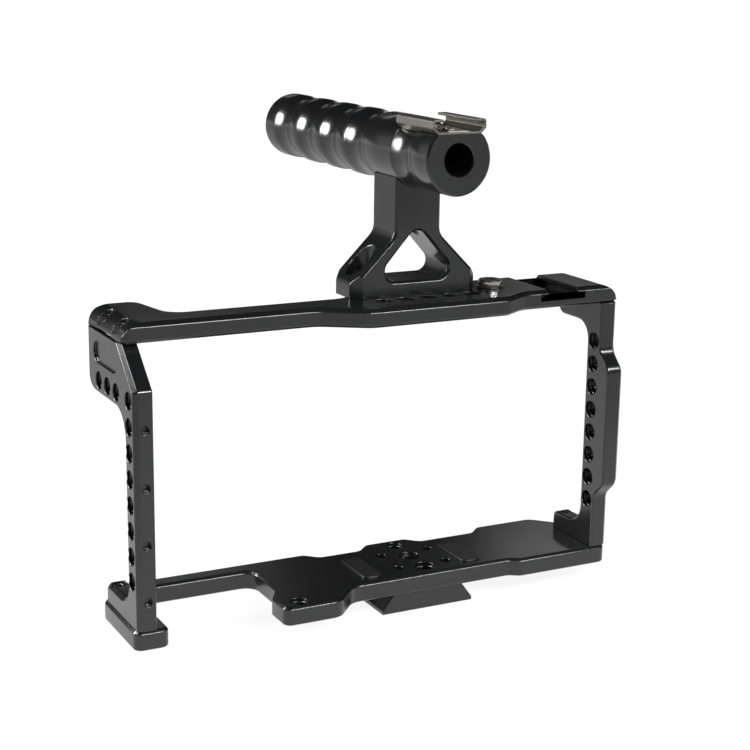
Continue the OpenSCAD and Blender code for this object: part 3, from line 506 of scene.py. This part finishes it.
def feed(tree, node, **links):
    """Links or sets inputs of a node by name, where _ stands for a space."""
    for key, value in links.items():
        socket = node.inputs[key.replace("_", " ")]
        if isinstance(value, bpy.types.NodeSocket):
            tree.links.new(value, socket)
        else:
            socket.default_value = value
    return node


def finish_tree(tree, source, result, geometry):
    """Ends a tree in Realize Instances and Set Material."""
    real = feed(tree, tree.nodes.new("GeometryNodeRealizeInstances"), Geometry=geometry)
    painted = feed(
        tree,
        tree.nodes.new("GeometryNodeSetMaterial"),
        Geometry=real.outputs[0],
        Material=source["Material"],
    )
    tree.links.new(painted.outputs[0], result["Geometry"])


def thread_tree():
    """Threads: a V ridge that winds up the wall of each hole, one for each point."""
    tree, source, result = node_tree(
        "Tapped threads",
        {
            "Radius": 3.0,
            "Depth": 6.0,
            "Pitch": 1.27,
            "Crest": 0.5,
            "Steps": 28,
            "Turn": UPRIGHT,
        },
    )
    length = math_node(tree, "SUBTRACT", source["Depth"], source["Pitch"])
    spiral = feed(
        tree,
        tree.nodes.new("GeometryNodeCurveSpiral"),
        Resolution=source["Steps"],
        Rotations=math_node(tree, "DIVIDE", length, source["Pitch"]),
        Start_Radius=source["Radius"],
        End_Radius=source["Radius"],
        Height=length,
    )
    upright = tree.nodes.new("GeometryNodeSetCurveNormal")
    upright.mode = "Z_UP"
    tree.links.new(spiral.outputs[0], upright.inputs["Curve"])
    ridge = feed(
        tree,
        tree.nodes.new("GeometryNodeCurvePrimitiveCircle"),
        Resolution=4,
        Radius=source["Crest"],
    )
    swept = feed(
        tree,
        tree.nodes.new("GeometryNodeCurveToMesh"),
        Curve=upright.outputs[0],
        Profile_Curve=ridge.outputs[0],
        Fill_Caps=True,
    )
    lift = tree.nodes.new("ShaderNodeCombineXYZ")
    half_pitch = math_node(tree, "DIVIDE", source["Pitch"], 2.0)
    tree.links.new(half_pitch, lift.inputs["Z"])
    raised = feed(
        tree,
        tree.nodes.new("GeometryNodeTransform"),
        Geometry=swept.outputs[0],
        Translation=lift.outputs[0],
    )
    placed = feed(
        tree,
        tree.nodes.new("GeometryNodeInstanceOnPoints"),
        Points=source["Geometry"],
        Instance=raised.outputs[0],
        Rotation=source["Turn"],
    )
    finish_tree(tree, source, result, placed.outputs[0])
    return tree


def screw_tree():
    """Screws: copies of one turned screw, each with its key turned by chance."""
    tree, source, result = node_tree("Screw set", {"Seed": 3, "Turn": UPRIGHT, "Screw": None})
    screw = feed(tree, tree.nodes.new("GeometryNodeObjectInfo"), Object=source["Screw"])
    chance = tree.nodes.new("FunctionNodeRandomValue")
    chance.data_type = "FLOAT"
    tree.links.new(source["Seed"], chance.inputs["Seed"])
    chance.inputs[3].default_value = math.pi
    about = tree.nodes.new("ShaderNodeCombineXYZ")
    tree.links.new(chance.outputs[1], about.inputs["Z"])
    spun = feed(
        tree,
        tree.nodes.new("GeometryNodeInstanceOnPoints"),
        Points=source["Geometry"],
        Instance=screw.outputs["Geometry"],
        Rotation=source["Turn"],
    )
    local = tree.nodes.new("GeometryNodeRotateInstances")
    feed(tree, local, Instances=spun.outputs[0], Rotation=about.outputs[0])
    local.inputs["Local Space"].default_value = True
    finish_tree(tree, source, result, local.outputs[0])
    return tree


def grow(name, points, tree, finish, **sizes):
    """A piece made by a geometry node tree on a few points, as a plain mesh."""
    piece = new_object(name, mesh_from(name, points, []))
    modifier = piece.modifiers.new("grow", "NODES")
    modifier.node_group = tree
    sockets = {
        item.name: item.identifier
        for item in tree.interface.items_tree
        if item.in_out == "INPUT"
    }
    for key, value in {**sizes, "Material": finish}.items():
        modifier[sockets[key]] = value
    settle(piece, name)
    mesh = piece.data
    mesh.materials.clear()
    mesh.materials.append(finish)
    for face in mesh.polygons:
        face.material_index = 0
    return piece


# The geometry node trees by name, filled by the operators that make them
TREES = {}


# ------------------------------------------------------------------ pieces

# Rows of tapped holes: first mouth, step to the next, count, diameter, depth,
# pitch or None for the 1/4 inch pitch, and the turn that lays Z along the hole
THREAD_ROWS = {
    "left_column_threads": ((0, 5.6, 79.4), (0, 0, -9), 8, TAP, LEFT_T, None, ALONG_X),
    "left_ear_threads": ((0, 18, 79.4), (0, 9, 0), 3, TAP, LEFT_T, None, ALONG_X),
    "right_column_threads": (
        (RIGHT_X, 11.5, 81.5), (0, 0, -9), 8, TAP, RIGHT_T, None, ALONG_X,
    ),
    "top_row_threads": ((97.65, 13.625, BAY_H), (9, 0, 0), 5, TAP, TOP_T, None, UPRIGHT),
    "rear_tripod_thread": (
        (TRIPOD[0], 41.1, -BASE_T), (0, 0, 0), 1, TAP, BASE_T, None, UPRIGHT,
    ),
    "front_tripod_thread": (
        (TRIPOD[0], 16.5, -BASE_T), (0, 0, 0), 1, TAP_WIDE, BASE_T, INCH / 16, UPRIGHT,
    ),
    "block_thread": ((60.8, 4.0, -BASE_T), (0, 0, 0), 1, TAP, BASE_T, None, UPRIGHT),
    "left_front_threads": ((3.8, 0, 10.4), (0, 0, 20), 4, TAP_SMALL, 2.0, 0.5, ALONG_Y),
}


# The most that a crest may be of the pitch, so that the turns stay apart
CREST_MOST = 0.42


class CAGE_OT_threads(bpy.types.Operator):
    """Winds a thread into each tapped hole"""

    bl_idname = "cage.threads"
    bl_label = "Threads"

    def execute(self, context):
        sizes = context.scene.cage_threads
        TREES["thread"] = thread_tree()
        for name, (first, step, count, diameter, depth, pitch, turn) in THREAD_ROWS.items():
            wound = sizes.pitch if pitch is None else pitch * MM
            points = [at(*[first[k] + i * step[k] for k in range(3)]) for i in range(count)]
            piece = grow(
                name,
                points,
                TREES["thread"],
                FINISH["plate"],
                Radius=diameter / 2 * MM,
                Depth=depth * MM,
                Pitch=wound,
                Crest=min(sizes.crest, wound * CREST_MOST),
                Steps=sizes.turn_steps,
                Turn=turn,
            )
            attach(piece, "cage")
        return {"FINISHED"}


def screw_mesh(shank_d, length, head_d, head_h, key, key_h, teeth, pitch):
    """One socket screw, head's underside at z = 0, in millimetres.

    teeth is 0 for a plain head, pitch is 0 for a shank whose thread is never seen.
    """
    steps = 96 if teeth else 72
    point, knurl_depth, socket_flare = 0.4, 0.14, 0.35
    r, h = shank_d / 2, head_d / 2
    side = knurled(h, teeth, knurl_depth) if teeth else h
    socket = hexagon(key)
    wide = hexagon(key + socket_flare)
    rings = [(r - point, -length), (r, point - length)]
    turns = int((length - 1.2) / pitch) if pitch else 0
    for i in range(turns):
        z = point - length + i * pitch
        rings += [
            (r, z + 0.35 * pitch),
            (r - 0.45 * pitch, z + 0.6 * pitch),
            (r, z + 0.85 * pitch),
        ]
    rings += [
        (r, -0.3),
        (r, 0.0),
        (h - 0.35, 0.0),
        (side, 0.3),
        (side, head_h - 0.55),
        (h - 0.16, head_h - 0.22),
        (h - 0.5, head_h),
        (wide, head_h),
        (socket, head_h - 0.2),
        (socket, head_h - key_h),
        (0.06, head_h - key_h - 0.25 * key),
    ]
    return lathe(rings, steps)


class CAGE_OT_screws(bpy.types.Operator):
    """Turns the socket screws and sets them in their seats"""

    bl_idname = "cage.screws"
    bl_label = "Screws"

    def execute(self, context):
        TREES["screw"] = screw_tree()
        for node, (size, length, teeth, seats, turn) in SCREWS.items():
            set_screws(
                node, size, length, teeth, 0, seats, turn, "oxide", "cage"
            )
        return {"FINISHED"}


LEFT_MID, RIGHT_MID = LEFT_T / 2, RIGHT_X + RIGHT_T / 2
FOOT_SCREW_DX, FOOT_SCREW_DY, FOOT_SCREW_Y, FOOT_SCREW_Z = 10.05, 7.1, 25.8, -11.1
HANDLE_SCREW_DX, HANDLE_SCREW_Z = 18.5, 107.1

# Socket screws: shank and head diameter, head height, key across flats, key depth
M2_5 = (2.5, 4.5, 2.5, 2.0, 1.3)
M3 = (3.0, 5.5, 3.0, 2.5, 1.6)
M4 = (4, 7, 4, 3, 2.2)
M5 = (5, 8.5, 5, 4, 2.6)
M6_LOW = (6, 10, 4, 4, 2.2)
SHOE_SCREW = (3.0, 5.4, 0.6, 2.0, 0.4)
TOP_SCREW_SIZE = (6.25, 9.0, 2.2, 4.0, 1.6)

# Black socket screws by node: size, length, teeth round the head, seats, turn
SCREWS = {
    "dovetail_screws": (
        M4,
        9.0,
        48,
        [
            (TRIPOD[0] + i * FOOT_SCREW_DX, FOOT_SCREW_Y + j * FOOT_SCREW_DY, FOOT_SCREW_Z)
            for i in (-1, 1)
            for j in (-1, 1)
        ],
        FLIPPED,
    ),
    "top_left_screws": (M3, 10.0, 40, [(LEFT_MID, y, 98.9) for y in (21.0, 37.0)], UPRIGHT),
    "top_right_screw": (M2_5, 10.3, 36, [(RIGHT_MID, 29.2, 90.8)], FLIPPED),
    "left_heel_screw": (M2_5, 8.6, 36, [(LEFT_MID, 29.2, 4.2)], UPRIGHT),
    "right_heel_screw": (M2_5, 8.6, 36, [(RIGHT_MID, 29.6, 4.2)], UPRIGHT),
    "left_column_screw": (M3, 11.5, 40, [(LEFT_MID, 5.6, -3.6)], FLIPPED),
    "right_column_screw": (M3, 11.5, 40, [(RIGHT_MID, 11.5, -3.6)], FLIPPED),
    "handle_base_screws": (
        M6_LOW,
        9.4,
        60,
        [(HANDLE_X + i * HANDLE_SCREW_DX, POST_Y, HANDLE_SCREW_Z) for i in (-1, 1)],
        UPRIGHT,
    ),
    "grip_screw": (M5, 16.35, 54, [(HANDLE_X, POST_Y, 132.6)], FLIPPED),
}


class CAGE_OT_shoe_screws(bpy.types.Operator):
    """Turns the shoe's two low screws"""

    bl_idname = "cage.shoe_screws"
    bl_label = "Shoe screws"

    def execute(self, context):
        seats = [(HANDLE_X, y, 165.1) for y in (-3.1, 8.9)]
        set_screws(
            "cold_shoe_screws", SHOE_SCREW, 3.2, 0, 0, seats, UPRIGHT, "bright",
            "cage",
        )
        return {"FINISHED"}


class CAGE_OT_top_screw(bpy.types.Operator):
    """Turns the knurled screw of the top plate and its ring"""

    bl_idname = "cage.top_screw"
    bl_label = "Top screw"

    def execute(self, context):
        seat = (*TOP_SCREW, 104.55)
        set_screws(
            "top_screw", TOP_SCREW_SIZE, 7.5, 46, 1.27, [seat], UPRIGHT, "bright",
            "top_screw",
        )
        ring(
            "top_screw_washer", TOP_SCREW, TOP_Z, 0.8, 9.6, 6.4, "bright", "bright_steel",
            "top_screw_slider",
        )
        return {"FINISHED"}


class CAGE_OT_base_screw(bpy.types.Operator):
    """Turns the captive base screw with its coin slot, and its washer"""

    bl_idname = "cage.base_screw"
    bl_label = "Base screw"

    def execute(self, context):
        head, slot_len, slot_w, slot_h = 2.5, 14, 1.6, 1.4
        neck_r, crest_r, root_r = 2.5, 3.125, 2.55
        first, last, tip = 3.7, 11.6, 12.6
        rings = [(5.4, 0.0), (6.0, 0.5), (6.0, head - 0.4), (5.6, head)]
        rings += [(neck_r, head), (neck_r, 3.5), (2.7, 3.5)]
        z = first
        while z < last:
            rings += [(crest_r, z + 0.3), (root_r, z + 0.75)]
            z += 1.27
        rings += [(3.0, tip - 0.4), (2.6, tip)]
        vertices, faces = lathe(rings, 96)
        piece = new_object("turned_base_screw", mesh_from("turned_base_screw", vertices, faces))
        smooth(piece.data, TURNED_SHARP)
        slot = bmesh.new()
        bmesh.ops.create_cube(slot, size=1.0)
        for v in slot.verts:
            v.co = Vector((v.co.x * slot_len, v.co.y * slot_w, v.co.z * 2 * slot_h)) * MM
        cutter_mesh = bpy.data.meshes.new("slot")
        slot.to_mesh(cutter_mesh)
        slot.free()
        cutter = new_object("slot", cutter_mesh)
        cut = piece.modifiers.new("slot", "BOOLEAN")
        cut.operation, cut.object, cut.solver = "DIFFERENCE", cutter, "EXACT"
        settle(piece, "turned_base_screw")
        bpy.data.objects.remove(cutter)
        piece.data.transform(Matrix.Translation(at(*TRIPOD, -15.1)))
        piece.data.materials.clear()
        piece.data.materials.append(FINISH["bright"])
        smooth(piece.data, TURNED_SHARP)
        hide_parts("base_screw")
        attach(piece, "base_screw")
        ring(
            "base_screw_washer", TRIPOD, -12.55, 0.8, 11.0, 5.1, "nylon", "nylon",
            "base_screw_slider",
        )
        return {"FINISHED"}


def ring(node, centre, z, height, outer, inner, finish, slot, body):
    """A flat ring with broken edges, turned round an upright axis, in millimetres."""
    a, b, c = outer / 2, inner / 2, 0.18
    rings = [
        (b, c),
        (b + c, 0),
        (a - c, 0),
        (a, c),
        (a, height - c),
        (a - c, height),
        (b + c, height),
        (b, height - c),
    ]
    vertices, faces = closed_rings([[(r, h)] * 96 for r, h in rings])
    name = "turned_" + node
    mesh = mesh_from(name, vertices, faces)
    mesh.transform(Matrix.Translation(at(centre[0], centre[1], z)))
    mesh.materials.append(FINISH[finish])
    smooth(mesh, TURNED_SHARP)
    piece = new_object(name, mesh)
    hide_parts(node)
    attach(piece, body)


def closed_rings(rings, angles=None):
    """A closed tube: each ring is a list of (radius, z), at even angles or its own."""
    steps = len(rings[0])
    vertices, faces = [], []
    for i, row in enumerate(rings):
        for k, (r, z) in enumerate(row):
            a = angles[i][k] if angles else 2 * math.pi * k / steps
            vertices.append((r * math.cos(a) * MM, r * math.sin(a) * MM, z * MM))
    for i in range(len(rings)):
        n = (i + 1) % len(rings)
        for k in range(steps):
            j = (k + 1) % steps
            faces.append((i * steps + k, i * steps + j, n * steps + j, n * steps + k))
    return vertices, faces


def set_screws(node, size, length, teeth, pitch, seats, turn, finish, body):
    """Turns one socket screw and sets a copy of it at each seat of a node."""
    vertices, faces = screw_mesh(size[0], length, *size[1:], teeth, pitch)
    template = new_object(node + "_template", mesh_from(node, vertices, faces))
    smooth(template.data, TURNED_SHARP)
    piece = grow(
        "turned_" + node,
        [at(*seat) for seat in seats],
        TREES["screw"],
        FINISH[finish],
        Screw=template,
        Turn=turn,
        Seed=len(node),
    )
    bpy.data.objects.remove(template)
    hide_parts(node)
    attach(piece, body)


# ------------------------------------------------------------------- grip


class CageGrip(bpy.types.PropertyGroup):
    groove_depth: FloatProperty(
        name="Groove depth",
        description="Depth of the finger grooves",
        default=0.0015,
        min=0.0,
        max=0.003,
        subtype="DISTANCE",
    )
    mark: FloatProperty(
        name="Tool mark",
        description="Depth of the fine line turned where each groove begins",
        default=0.00008,
        min=0.0,
        max=0.0003,
        subtype="DISTANCE",
    )
    facets: IntProperty(
        name="Facets",
        description="Straight stretches round the grip",
        default=176,
        min=48,
        max=256,
    )


# The turned grip, in millimetres: its front end, length, radii, the collar and the saddle
# before the row of grooves, the grooves, and the flat under the shoe
GRIP_FRONT, GRIP_LEN, GRIP_R, GRIP_BORE_R, GRIP_END_R = -10.5, 138.5, 12.5, 5.65, 4
COLLAR, SADDLE = 12.0, 36.0
GROOVE_PITCH, GROOVE_LEN, GROOVE_SKEW, GROOVE_STEPS = 21.0, 15.2, 1.25, 32
BORE_BREAK, FRONT_BREAK = 0.35, 0.7
SHOE_FLAT, SHOE_LEN, SHOE_WALL_LEAN = 8.6, 26.8, 0.002
# Rings no wider than this are in the bore, and take the angles of the outer wall
FLAT_REACH = SHOE_FLAT + 0.2


def grip_outline(depth, mark):
    """The grip's section as (radius, distance from its front end), bore included."""
    outline = [(GRIP_BORE_R, BORE_BREAK), (GRIP_BORE_R + BORE_BREAK, 0.0)]
    outline += [(GRIP_R - FRONT_BREAK, 0.0), (GRIP_R, FRONT_BREAK), (GRIP_R, 2.0), (GRIP_R, 6.0)]
    for crease in (0.0, *[SADDLE + i * GROOVE_PITCH for i in range(4)]):
        start = COLLAR + crease
        outline += [
            (GRIP_R, start - 0.3),
            (GRIP_R - mark, start - 0.12),
            (GRIP_R - mark, start - 0.06),
        ]
        for i in range(GROOVE_STEPS + 1):
            t = i / GROOVE_STEPS
            sink = depth * math.sin(math.pi * t**GROOVE_SKEW)
            outline.append((GRIP_R - sink, start + GROOVE_LEN * t))
        land = (GROOVE_PITCH if crease else SADDLE) - GROOVE_LEN
        outline.append((GRIP_R, min(start + GROOVE_LEN + land / 2, GRIP_LEN - 8)))
    for i in range(13):
        a = math.pi / 2 * i / 12
        outline.append(
            (
                GRIP_R - GRIP_END_R + GRIP_END_R * math.cos(a),
                GRIP_LEN - GRIP_END_R + GRIP_END_R * math.sin(a),
            )
        )
    outline += [(GRIP_BORE_R + BORE_BREAK, GRIP_LEN), (GRIP_BORE_R, GRIP_LEN - BORE_BREAK)]
    outline += [(GRIP_BORE_R, GRIP_LEN * k / 6) for k in range(5, 0, -1)]
    return outline


def grip_ring(r, s, facets, across):
    """One ring of the grip and its angles: the first steps, up to across, lie over the flat."""
    half = math.acos(SHOE_FLAT / (r if r > FLAT_REACH else GRIP_R))
    row, angles = [], []
    for k in range(facets):
        if k <= across:
            a = -half + 2 * half * k / across
        else:
            a = half + (2 * math.pi - 2 * half) * (k - across) / (facets - across)
        cut = s < SHOE_LEN and k <= across and r > SHOE_FLAT
        row.append((min(r, SHOE_FLAT / math.cos(a)) if cut else r, s))
        angles.append(a)
    return row, angles


class CAGE_OT_grip(bpy.types.Operator):
    """Turns the grip with its finger grooves, its shoe flat and its through bore"""

    bl_idname = "cage.grip"
    bl_label = "Grip"

    def execute(self, context):
        sizes = context.scene.cage_grip
        across = sizes.facets // 4
        rows, turns = [], []
        for r, s in grip_outline(sizes.groove_depth / MM, sizes.mark / MM):
            row, angles = grip_ring(r, s, sizes.facets, across)
            rows.append(row)
            turns.append(angles)

        # The wall at the flat's rear end: a cut ring and a full one, nearly at one place
        step = next(
            i for i, row in enumerate(rows) if row[-1][1] > SHOE_LEN and row[-1][0] > SHOE_FLAT
        )
        cut, full = [], []
        for k, a in enumerate(turns[step]):
            r = rows[step][k][0]
            cut.append((min(r, SHOE_FLAT / math.cos(a)) if k <= across else r, SHOE_LEN))
            full.append((r, SHOE_LEN + SHOE_WALL_LEAN))
        rows[step:step] = [cut, full]
        turns[step:step] = [turns[step], turns[step]]

        vertices, faces = closed_rings(rows, turns)
        mesh = mesh_from("turned_handle_grip", vertices, faces)
        # Laid down along Y with the flat on top: the lathe's X is up and its Z runs rearwards
        x, y, z = at(HANDLE_X, GRIP_FRONT, GRIP_Z)
        mesh.transform(Matrix(((0, 1, 0, x), (0, 0, 1, y), (1, 0, 0, z), (0, 0, 0, 1))))
        mesh.materials.append(FINISH["grip"])
        smooth(mesh, math.radians(24))
        piece = new_object("turned_handle_grip", mesh)
        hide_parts("handle_grip")
        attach(piece, "cage")
        return {"FINISHED"}


# ------------------------------------------------------------------- edges


MERGE_WITHIN = 2e-6
FLAT_WITHIN = math.radians(0.3)


class CAGE_OT_machined(bpy.types.Operator):
    """Copies the machined pieces, merges their faces and breaks their edges"""

    bl_idname = "cage.machined"
    bl_label = "Machined pieces"

    def execute(self, context):
        sizes = context.scene.cage_edges
        for node, (finish, slot, width) in MACHINED.items():
            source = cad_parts[node]
            shape = bmesh.new()
            shape.from_mesh(source.data)
            bmesh.ops.remove_doubles(shape, verts=shape.verts, dist=MERGE_WITHIN)
            bmesh.ops.dissolve_limit(
                shape, verts=shape.verts, edges=shape.edges, angle_limit=FLAT_WITHIN
            )
            mesh = bpy.data.meshes.new("machined_" + node)
            shape.to_mesh(mesh)
            shape.free()
            for layer in ("custom_normal", "sharp_edge", "sharp_face"):
                if layer in mesh.attributes:
                    mesh.attributes.remove(mesh.attributes[layer])
            mesh.materials.clear()
            mesh.materials.append(FINISH[finish])
            for face in mesh.polygons:
                face.use_smooth = True
                face.material_index = 0
            piece = new_object("machined_" + node, mesh)
            edge = piece.modifiers.new("edge", "BEVEL")
            edge.width = sizes.width * width
            edge.segments = 2
            edge.limit_method = "ANGLE"
            edge.angle_limit = sizes.angle
            edge.harden_normals = True
            edge.use_clamp_overlap = False
            settle(piece, "machined_" + node)
            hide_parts(node)
            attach(piece, "cage")
        return {"FINISHED"}


# By node: finish, slot and the edge break as a share of the panel's width
MACHINED = {
    "base_plate": ("plate", "anodised_black", 1.0),
    "top_plate": ("plate", "anodised_black", 1.0),
    "left_side_plate": ("plate", "anodised_black", 1.0),
    "right_side_plate": ("plate", "anodised_black", 1.0),
    "dovetail_foot": ("plate", "anodised_black", 1.0),
    "handle_post": ("plate", "anodised_black", 1.0),
    "left_pad": ("rubber", "rubber", 1.2),
    "right_pad": ("rubber", "rubber", 1.2),
    "cold_shoe": ("sheet", "bright_steel", 0.7),
}


# ------------------------------------------------------------------- stage

CAMERA_AT = Vector((-0.28927, -0.52825, 0.23530))
YAW, PITCH_DOWN, ROLL = (math.radians(v) for v in (27.376, 13.892, 0.825))
LENS, SENSOR = 80.0, 36.0

# Half the floor's side, and how much of the lamps' light its white shows
FLOOR_HALF, FLOOR_SHADE = 16.0, 0.10
# Over a distance from the middle, from one value to another: how white the floor shows, and how
# much of it is taken out of reflections, a painted fall-off of light on the floor that only
# reflections see
FLOOR_WHITE = (0.15, 0.8, 0.90, 1.0)
FLOOR_DIM = (0.15, 0.5, 0.0, 0.5)

# Lamps: name, direction from the aim, distance, width, height, power, shape
LAMP_AIM = Vector((0, 0, 0.09))
LAMPS = [
    ("key", (-0.774, 0.522, 0.358), 1.0, 0.40, 0.46, 15.0, "ELLIPSE"),
    ("left_high", (-0.73, 0.06, 0.66), 1.1, 0.20, 0.20, 4.0, "RECTANGLE"),
    ("front", (0.20, -0.82, 0.53), 1.2, 1.1, 0.12, 28.0, "RECTANGLE"),
    ("rear_left", (0.27, 0.89, 0.37), 1.5, 0.20, 0.12, 0.07, "RECTANGLE"),
    ("rear_right", (0.57, 0.75, 0.34), 1.5, 0.20, 0.14, 0.145, "RECTANGLE"),
]
# The sky's brightness by the upward part of a direction
SKY = ((0.02, 0.9), (0.05, 0.07), (0.2, 0.03), (0.7, 0.015))
SKY_LOW, SKY_TOP = 1.0, 0.05


def ramp_over(tree, distance, stops):
    """A smooth Map Range over a distance: from, to, first value, last value."""
    node = add_node(tree, "ShaderNodeMapRange", interpolation_type="SMOOTHSTEP")
    tree.links.new(distance, node.inputs[0])
    for socket, value in zip(node.inputs[1:5], stops):
        socket.default_value = value
    return node.outputs[0]


def floor_material(colour):
    """A pale floor that shows white and keeps a soft shadow."""
    material = bpy.data.materials.new("pale floor")
    material.use_nodes = True
    tree = material.node_tree
    tree.nodes.clear()
    out = tree.nodes.new("ShaderNodeOutputMaterial")
    plain = tree.nodes.new("ShaderNodeBsdfDiffuse")
    plain.inputs["Color"].default_value = (*colour, 1)
    shade = tree.nodes.new("ShaderNodeBsdfDiffuse")
    shade.inputs["Color"].default_value = (FLOOR_SHADE, FLOOR_SHADE, FLOOR_SHADE, 1)
    glow = tree.nodes.new("ShaderNodeEmission")
    away = add_node(tree, "ShaderNodeVectorMath", operation="LENGTH")
    tree.links.new(tree.nodes.new("ShaderNodeTexCoord").outputs["Object"], away.inputs[0])
    whiten = ramp_over(tree, away.outputs["Value"], FLOOR_WHITE)
    path = tree.nodes.new("ShaderNodeLightPath")
    glossy = path.outputs["Is Glossy Ray"]
    # Painted light: glossy rays see the floor's glow fade away from the middle, as if lamps lit
    # the floor only near the cage
    fall = ramp_over(tree, away.outputs["Value"], FLOOR_DIM)
    kept = math_node(tree, "SUBTRACT", 1.0, math_node(tree, "MULTIPLY", fall, glossy))
    strength = math_node(tree, "MULTIPLY", whiten, kept)
    tree.links.new(strength, glow.inputs["Strength"])
    both = tree.nodes.new("ShaderNodeAddShader")
    tree.links.new(shade.outputs[0], both.inputs[0])
    tree.links.new(glow.outputs[0], both.inputs[1])
    mirrored = math_node(tree, "MAXIMUM", glossy, path.outputs["Is Transmission Ray"])
    seen = math_node(tree, "MAXIMUM", path.outputs["Is Camera Ray"], mirrored)
    mix = tree.nodes.new("ShaderNodeMixShader")
    tree.links.new(seen, mix.inputs[0])
    tree.links.new(plain.outputs[0], mix.inputs[1])
    tree.links.new(both.outputs[0], mix.inputs[2])
    tree.links.new(mix.outputs[0], out.inputs["Surface"])
    return material


def softbox(name, direction, distance, width, height, power, shape):
    """An area lamp that looks at the middle of the cage from a direction."""
    data = bpy.data.lights.new(name, "AREA")
    data.shape = shape
    data.size, data.size_y = width, height
    data.energy = power
    lamp = bpy.data.objects.new(name, data)
    bpy.context.scene.collection.objects.link(lamp)
    back = Vector(direction).normalized()
    lamp.location = LAMP_AIM + back * distance
    lamp.rotation_mode = "QUATERNION"
    lamp.rotation_quaternion = (-back).to_track_quat("-Z", "Y")
    lamp.visible_camera = False


class CAGE_OT_stage(bpy.types.Operator):
    """Sets the floor, the lamps, the world and the camera"""

    bl_idname = "cage.stage"
    bl_label = "Stage"

    def execute(self, context):
        scene = context.scene
        scene.view_settings.view_transform = "Standard"
        half = FLOOR_HALF
        corners = [(-half, -half, 0), (half, -half, 0), (half, half, 0), (-half, half, 0)]
        floor = new_object("floor", mesh_from("floor", corners, [(0, 1, 2, 3)]))
        floor.data.materials.append(floor_material(scene.cage_finish.floor))

        for lamp in LAMPS:
            softbox(*lamp)
        scene.world = studio_world()
        scene.camera = front_camera()
        return {"FINISHED"}


def studio_world():
    """A world that is bright at the horizon and dark above."""
    world = bpy.data.worlds.new("studio")
    world.use_nodes = True
    tree = world.node_tree
    tree.nodes.clear()
    out = tree.nodes.new("ShaderNodeOutputWorld")
    sky = tree.nodes.new("ShaderNodeBackground")
    place = tree.nodes.new("ShaderNodeTexCoord")
    split = tree.nodes.new("ShaderNodeSeparateXYZ")
    tree.links.new(place.outputs["Generated"], split.inputs[0])
    ramp = tree.nodes.new("ShaderNodeValToRGB")
    stops = ramp.color_ramp.elements
    stops[0].position, stops[0].color = 0.0, (SKY_LOW, SKY_LOW, SKY_LOW, 1)
    stops[1].position, stops[1].color = 1.0, (SKY_TOP, SKY_TOP, SKY_TOP, 1)
    for position, value in SKY:
        stop = stops.new(position)
        stop.color = (value, value, value, 1)
    tree.links.new(split.outputs["Z"], ramp.inputs[0])
    tree.links.new(ramp.outputs[0], sky.inputs["Color"])
    tree.links.new(sky.outputs[0], out.inputs["Surface"])
    return world


def front_camera():
    """A camera in front of the cage, to its left and a little above it."""
    forward = Vector(
        (
            math.sin(YAW) * math.cos(PITCH_DOWN),
            math.cos(YAW) * math.cos(PITCH_DOWN),
            -math.sin(PITCH_DOWN),
        )
    )
    level = Vector((math.cos(YAW), -math.sin(YAW), 0))
    above = level.cross(forward)
    right = level * math.cos(ROLL) + above * math.sin(ROLL)
    up = above * math.cos(ROLL) - level * math.sin(ROLL)
    data = bpy.data.cameras.new("camera")
    data.lens = LENS
    data.sensor_width = SENSOR
    data.clip_start, data.clip_end = 0.01, 50
    camera = bpy.data.objects.new("camera", data)
    bpy.context.scene.collection.objects.link(camera)
    turn = Matrix((right, up, -forward)).transposed().to_4x4()
    camera.matrix_world = Matrix.Translation(CAMERA_AT) @ turn
    return camera


# ------------------------------------------------------------------- panel

OPERATORS = [
    CAGE_OT_finishes,
    CAGE_OT_machined,
    CAGE_OT_threads,
    CAGE_OT_screws,
    CAGE_OT_shoe_screws,
    CAGE_OT_top_screw,
    CAGE_OT_base_screw,
    CAGE_OT_grip,
    CAGE_OT_stage,
]
GROUP_NAMES = {
    "cage_threads": CageThreads,
    "cage_edges": CageEdges,
    "cage_finish": CageFinish,
    "cage_grip": CageGrip,
}


class CAGE_PT_panel(bpy.types.Panel):
    bl_idname = "CAGE_PT_panel"
    bl_label = "Camera Cage"
    bl_space_type = "VIEW_3D"
    bl_region_type = "UI"
    bl_category = "Camera Cage"

    def draw(self, context):
        for name, group in GROUP_NAMES.items():
            box = self.layout.box()
            for key in group.__annotations__:
                box.prop(getattr(context.scene, name), key)
        for operator in OPERATORS:
            self.layout.operator(operator.bl_idname)


CLASSES = [*GROUP_NAMES.values(), *OPERATORS, CAGE_PT_panel]


def register():
    for cls in CLASSES:
        bpy.utils.register_class(cls)
    for name, group in GROUP_NAMES.items():
        setattr(bpy.types.Scene, name, PointerProperty(type=group))


def unregister():
    for name in GROUP_NAMES:
        delattr(bpy.types.Scene, name)
    for cls in reversed(CLASSES):
        bpy.utils.unregister_class(cls)


def main():
    """Registers the add-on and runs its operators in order."""
    register()
    for operator in OPERATORS:
        group, call = operator.bl_idname.split(".")
        getattr(getattr(bpy.ops, group), call)()


if __name__ == "__main__":
    main()
